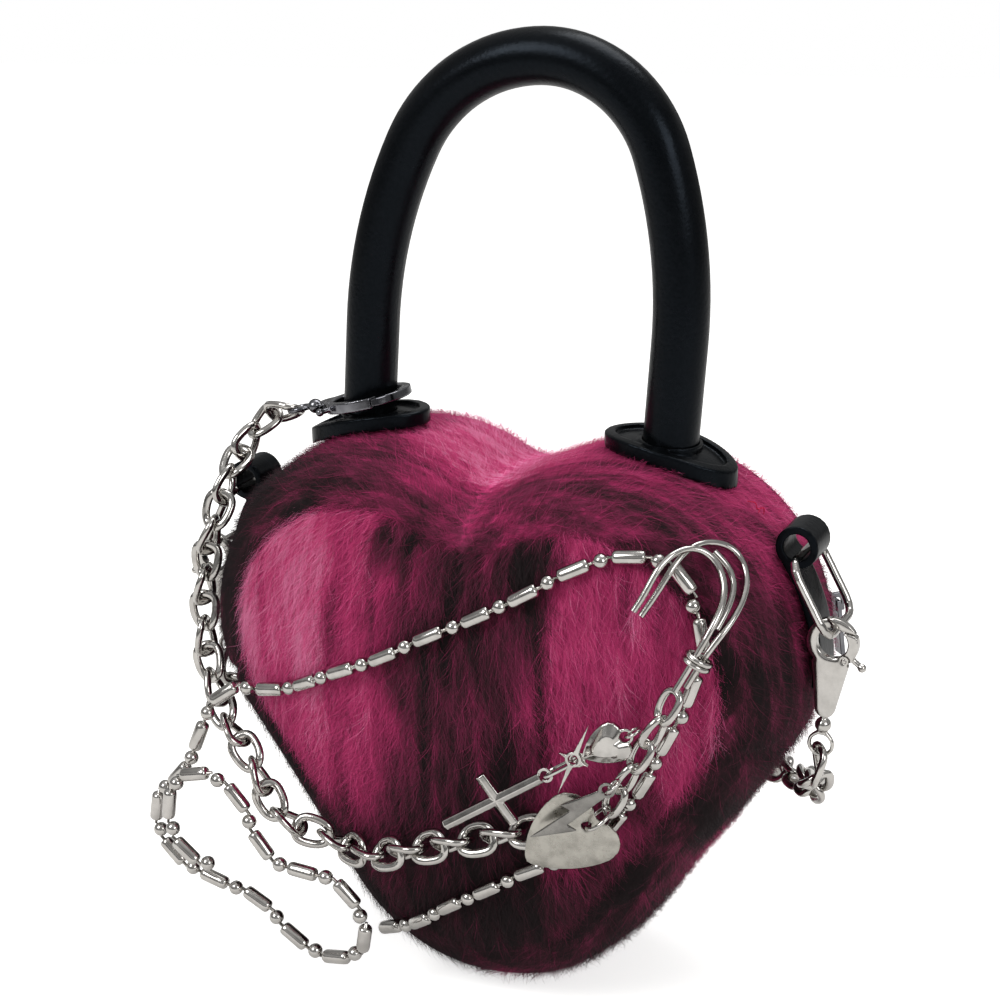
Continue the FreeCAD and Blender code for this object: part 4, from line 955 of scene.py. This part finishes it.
# Charms. Small castings tumbled and plated: a cross on its long link, a puffed heart, a bare
# heart tag, a bolt and a four-point star.

tag_ease = 9
ease_reach = 40
edge_window = 1.5
cross_half_bar, ridge_fall = 1.6, 0.55


def own_spots(mesh, lie):
    """A charm's points as it lies flat, in metres."""
    return np.array([tuple(lie.inverted() @ vertex.co) for vertex in mesh.vertices])


def put_back(mesh, lie, spots):
    """Give a charm these points, turned to where it hangs."""
    for vertex, spot in zip(mesh.vertices, spots):
        vertex.co = lie @ Vector(spot)


def rounder(mesh, lie):
    """Ease a flat charm's outline into one curve, seen along its thickness."""
    spots = own_spots(mesh, lie)
    turn = np.degrees(np.arctan2(spots[:, 1], spots[:, 0])) % 360
    reach = np.hypot(spots[:, 0], spots[:, 1])
    apart = [np.abs((turn - step + 180) % 360 - 180) for step in range(360)]
    edge = np.array([reach[gap < edge_window].max() for gap in apart])
    weights = np.exp(-(np.arange(-ease_reach, ease_reach + 1) / tag_ease) ** 2)
    wrapped = np.concatenate([edge[-ease_reach:], edge, edge[:ease_reach]])
    smooth = np.convolve(wrapped, weights / weights.sum(), mode="valid")
    wanted = np.interp(turn, range(361), np.append(smooth / edge, smooth[0] / edge[0]))
    outer = (reach / np.interp(turn, range(361), np.append(edge, edge[0]))) ** 3
    spots[:, :2] *= (1 + (wanted - 1) * outer)[:, None]
    put_back(mesh, lie, spots)


def ridged(mesh, lie):
    """Bring the faces of two crossed bars to a ridge along their middle lines."""
    spots = own_spots(mesh, lie)
    arm_ends = np.abs(spots[:, 1]) > 0.8 * np.abs(spots[:, 1]).max()
    arm_x = (spots[arm_ends, 0].max() + spots[arm_ends, 0].min()) / 2
    off = np.minimum(np.abs(spots[:, 1]), np.abs(spots[:, 0] - arm_x)) / (cross_half_bar * MM)
    spots[:, 2] *= 1 - ridge_fall * np.clip(off, 0, 1)
    put_back(mesh, lie, spots)


satin_nickel = plated("tumbled_nickel_plate", "#b3b0a8", 0.2, 0.36, "#94918a")
aged_nickel = plated("aged_nickel_plate", "#8e8c88", 0.14, 0.28, "#6f6d6a")
for node_name, dome, metal in (("cross_charm", 0, nickel), ("heart_tag", 500, satin_nickel),
                               ("bolt_charm", 260, aged_nickel), ("star_charm", 40, nickel)):
    charm_lie = lie_of(solids_of(node_name)[0][0])[0]
    charm = rounded_copy(node_name + "_cast", node_name, 0.18, 4, metal, "steel", lie=charm_lie, dome=dome)
    if node_name == "heart_tag":
        rounder(charm.data, charm_lie)
    if node_name == "cross_charm":
        ridged(charm.data, charm_lie)
rounded_copy("cross_link_cast", "cross_link", 0.16, 3, nickel, "steel")
rounded_copy("small_heart_charm_cast", "small_heart_charm", 0.2, 14, nickel, "steel")


# Loose thread. A few ends of red sewing thread left in the pile on the right lobe, each
# arched a little way out of the cloth.

thread_root, thread_out = Vector((65.4, 1.3, -129.9)), Vector((0.67, 0.0, 0.74))
thread_way, thread_side = Vector((0.74, 0.0, -0.67)), Vector((0.0, -1.0, 0.0))
thread_radius = 0.2
red_thread = woven("spun_red_thread", "#8e0f2c", "#c9234c", 0.3)
for k, (ahead, aside, arch) in enumerate(((-3.6, 1.2, 1.4), (2.4, -0.8, 1.8), (1.2, 1.6, 1.0))):
    line = []
    for share in (0.0, 0.3, 0.6, 1.0):
        spot = thread_root + (thread_way * ahead + thread_side * aside) * share
        line.append((spot + thread_out * (arch * 4 * share * (1 - share) + thread_radius)) * MM)
    thread = bent_wire("loose_thread_" + str(k + 1), line, thread_radius)
    thread.data.materials.append(red_thread)
    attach(thread, "bag")


# Studio. A pale floor under the bag's tip, soft light from above and both sides, and the
# camera where the photograph was taken from.

floor_gap = 1.5
floor_z = cad_box[0][2] - floor_gap * MM
floor_mesh = bpy.data.meshes.new("floor")
reach = 3.0
corners = [(x * reach, y * reach, floor_z) for x, y in ((-1, -1), (1, -1), (1, 1), (-1, 1))]
floor_mesh.from_pydata(corners, [], [(0, 1, 2, 3)])
floor = placed("floor", floor_mesh)
paper, paper_tree, paper_shader = finish_named("pale_paper")
seen_straight = add(paper_tree, "ShaderNodeLightPath")["Is Camera Ray"]
seen_white = add(paper_tree, "ShaderNodeMath", {0: seen_straight, 1: 0.66}, operation="MULTIPLY")[0]
feed(paper_tree, paper_shader, {"Base Color": srgb("#f2f1ef"), "Roughness": 0.9,
                                "Emission Color": srgb("#ffffff"), "Emission Strength": seen_white})
floor_mesh.materials.append(paper)

bpy.context.scene.view_settings.view_transform = "Standard"
world = bpy.data.worlds.new("studio")
bpy.context.scene.world = world
world.use_nodes = True
air = world.node_tree
straight = add(air, "ShaderNodeLightPath")["Is Camera Ray"]
way = add(air, "ShaderNodeTexCoord")["Object"]
height = add(air, "ShaderNodeSeparateXYZ", {0: way})["Z"]
height = add(air, "ShaderNodeMapRange", {0: height, 1: -1.0, 2: 1.0})[0]
room = add(air, "ShaderNodeValToRGB", {0: height}, stops=(
    (0.0, 0.05), (0.46, 0.06), (0.54, 0.2), (0.66, 0.5), (0.74, 0.22), (1.0, 0.7)))[0]
room = add(air, "ShaderNodeMath", {0: room, 1: straight}, operation="MAXIMUM")[0]
feed(air, air.nodes["Background"], {"Color": srgb("#ffffff"), "Strength": room})

target = Vector((-17.8, 0.0, -136.0)) * MM
for lamp_name, place, size, power in (
        ("key", (-0.5, -0.9, 0.7), 0.6, 9.0), ("fill", (0.9, -0.5, 0.3), 0.5, 3.5),
        ("top", (0.1, 0.4, 1.0), 0.7, 7.0)):
    lamp = bpy.data.lights.new(lamp_name, "AREA")
    lamp.energy = power
    lamp.size = size
    holder = placed(lamp_name, lamp)
    holder.location = Vector(place)
    holder.rotation_euler = (target - Vector(place)).to_track_quat("-Z", "Y").to_euler()

camera_turn, camera_rise, camera_roll = math.radians(26.0), math.radians(17.5), math.radians(-1.5)
camera_distance = 0.6
toward = Vector((math.sin(camera_turn) * math.cos(camera_rise),
                 -math.cos(camera_turn) * math.cos(camera_rise), math.sin(camera_rise)))
eye = bpy.data.cameras.new("camera")
eye.sensor_width = 36.0
eye.lens = 69.1
eye.clip_start = 0.01
camera = placed("camera", eye)
camera.location = target + toward * camera_distance
facing = (-toward).to_track_quat("-Z", "Y").to_matrix()
camera.rotation_euler = (facing @ Matrix.Rotation(camera_roll, 3, "Z")).to_euler()
bpy.context.scene.camera = camera
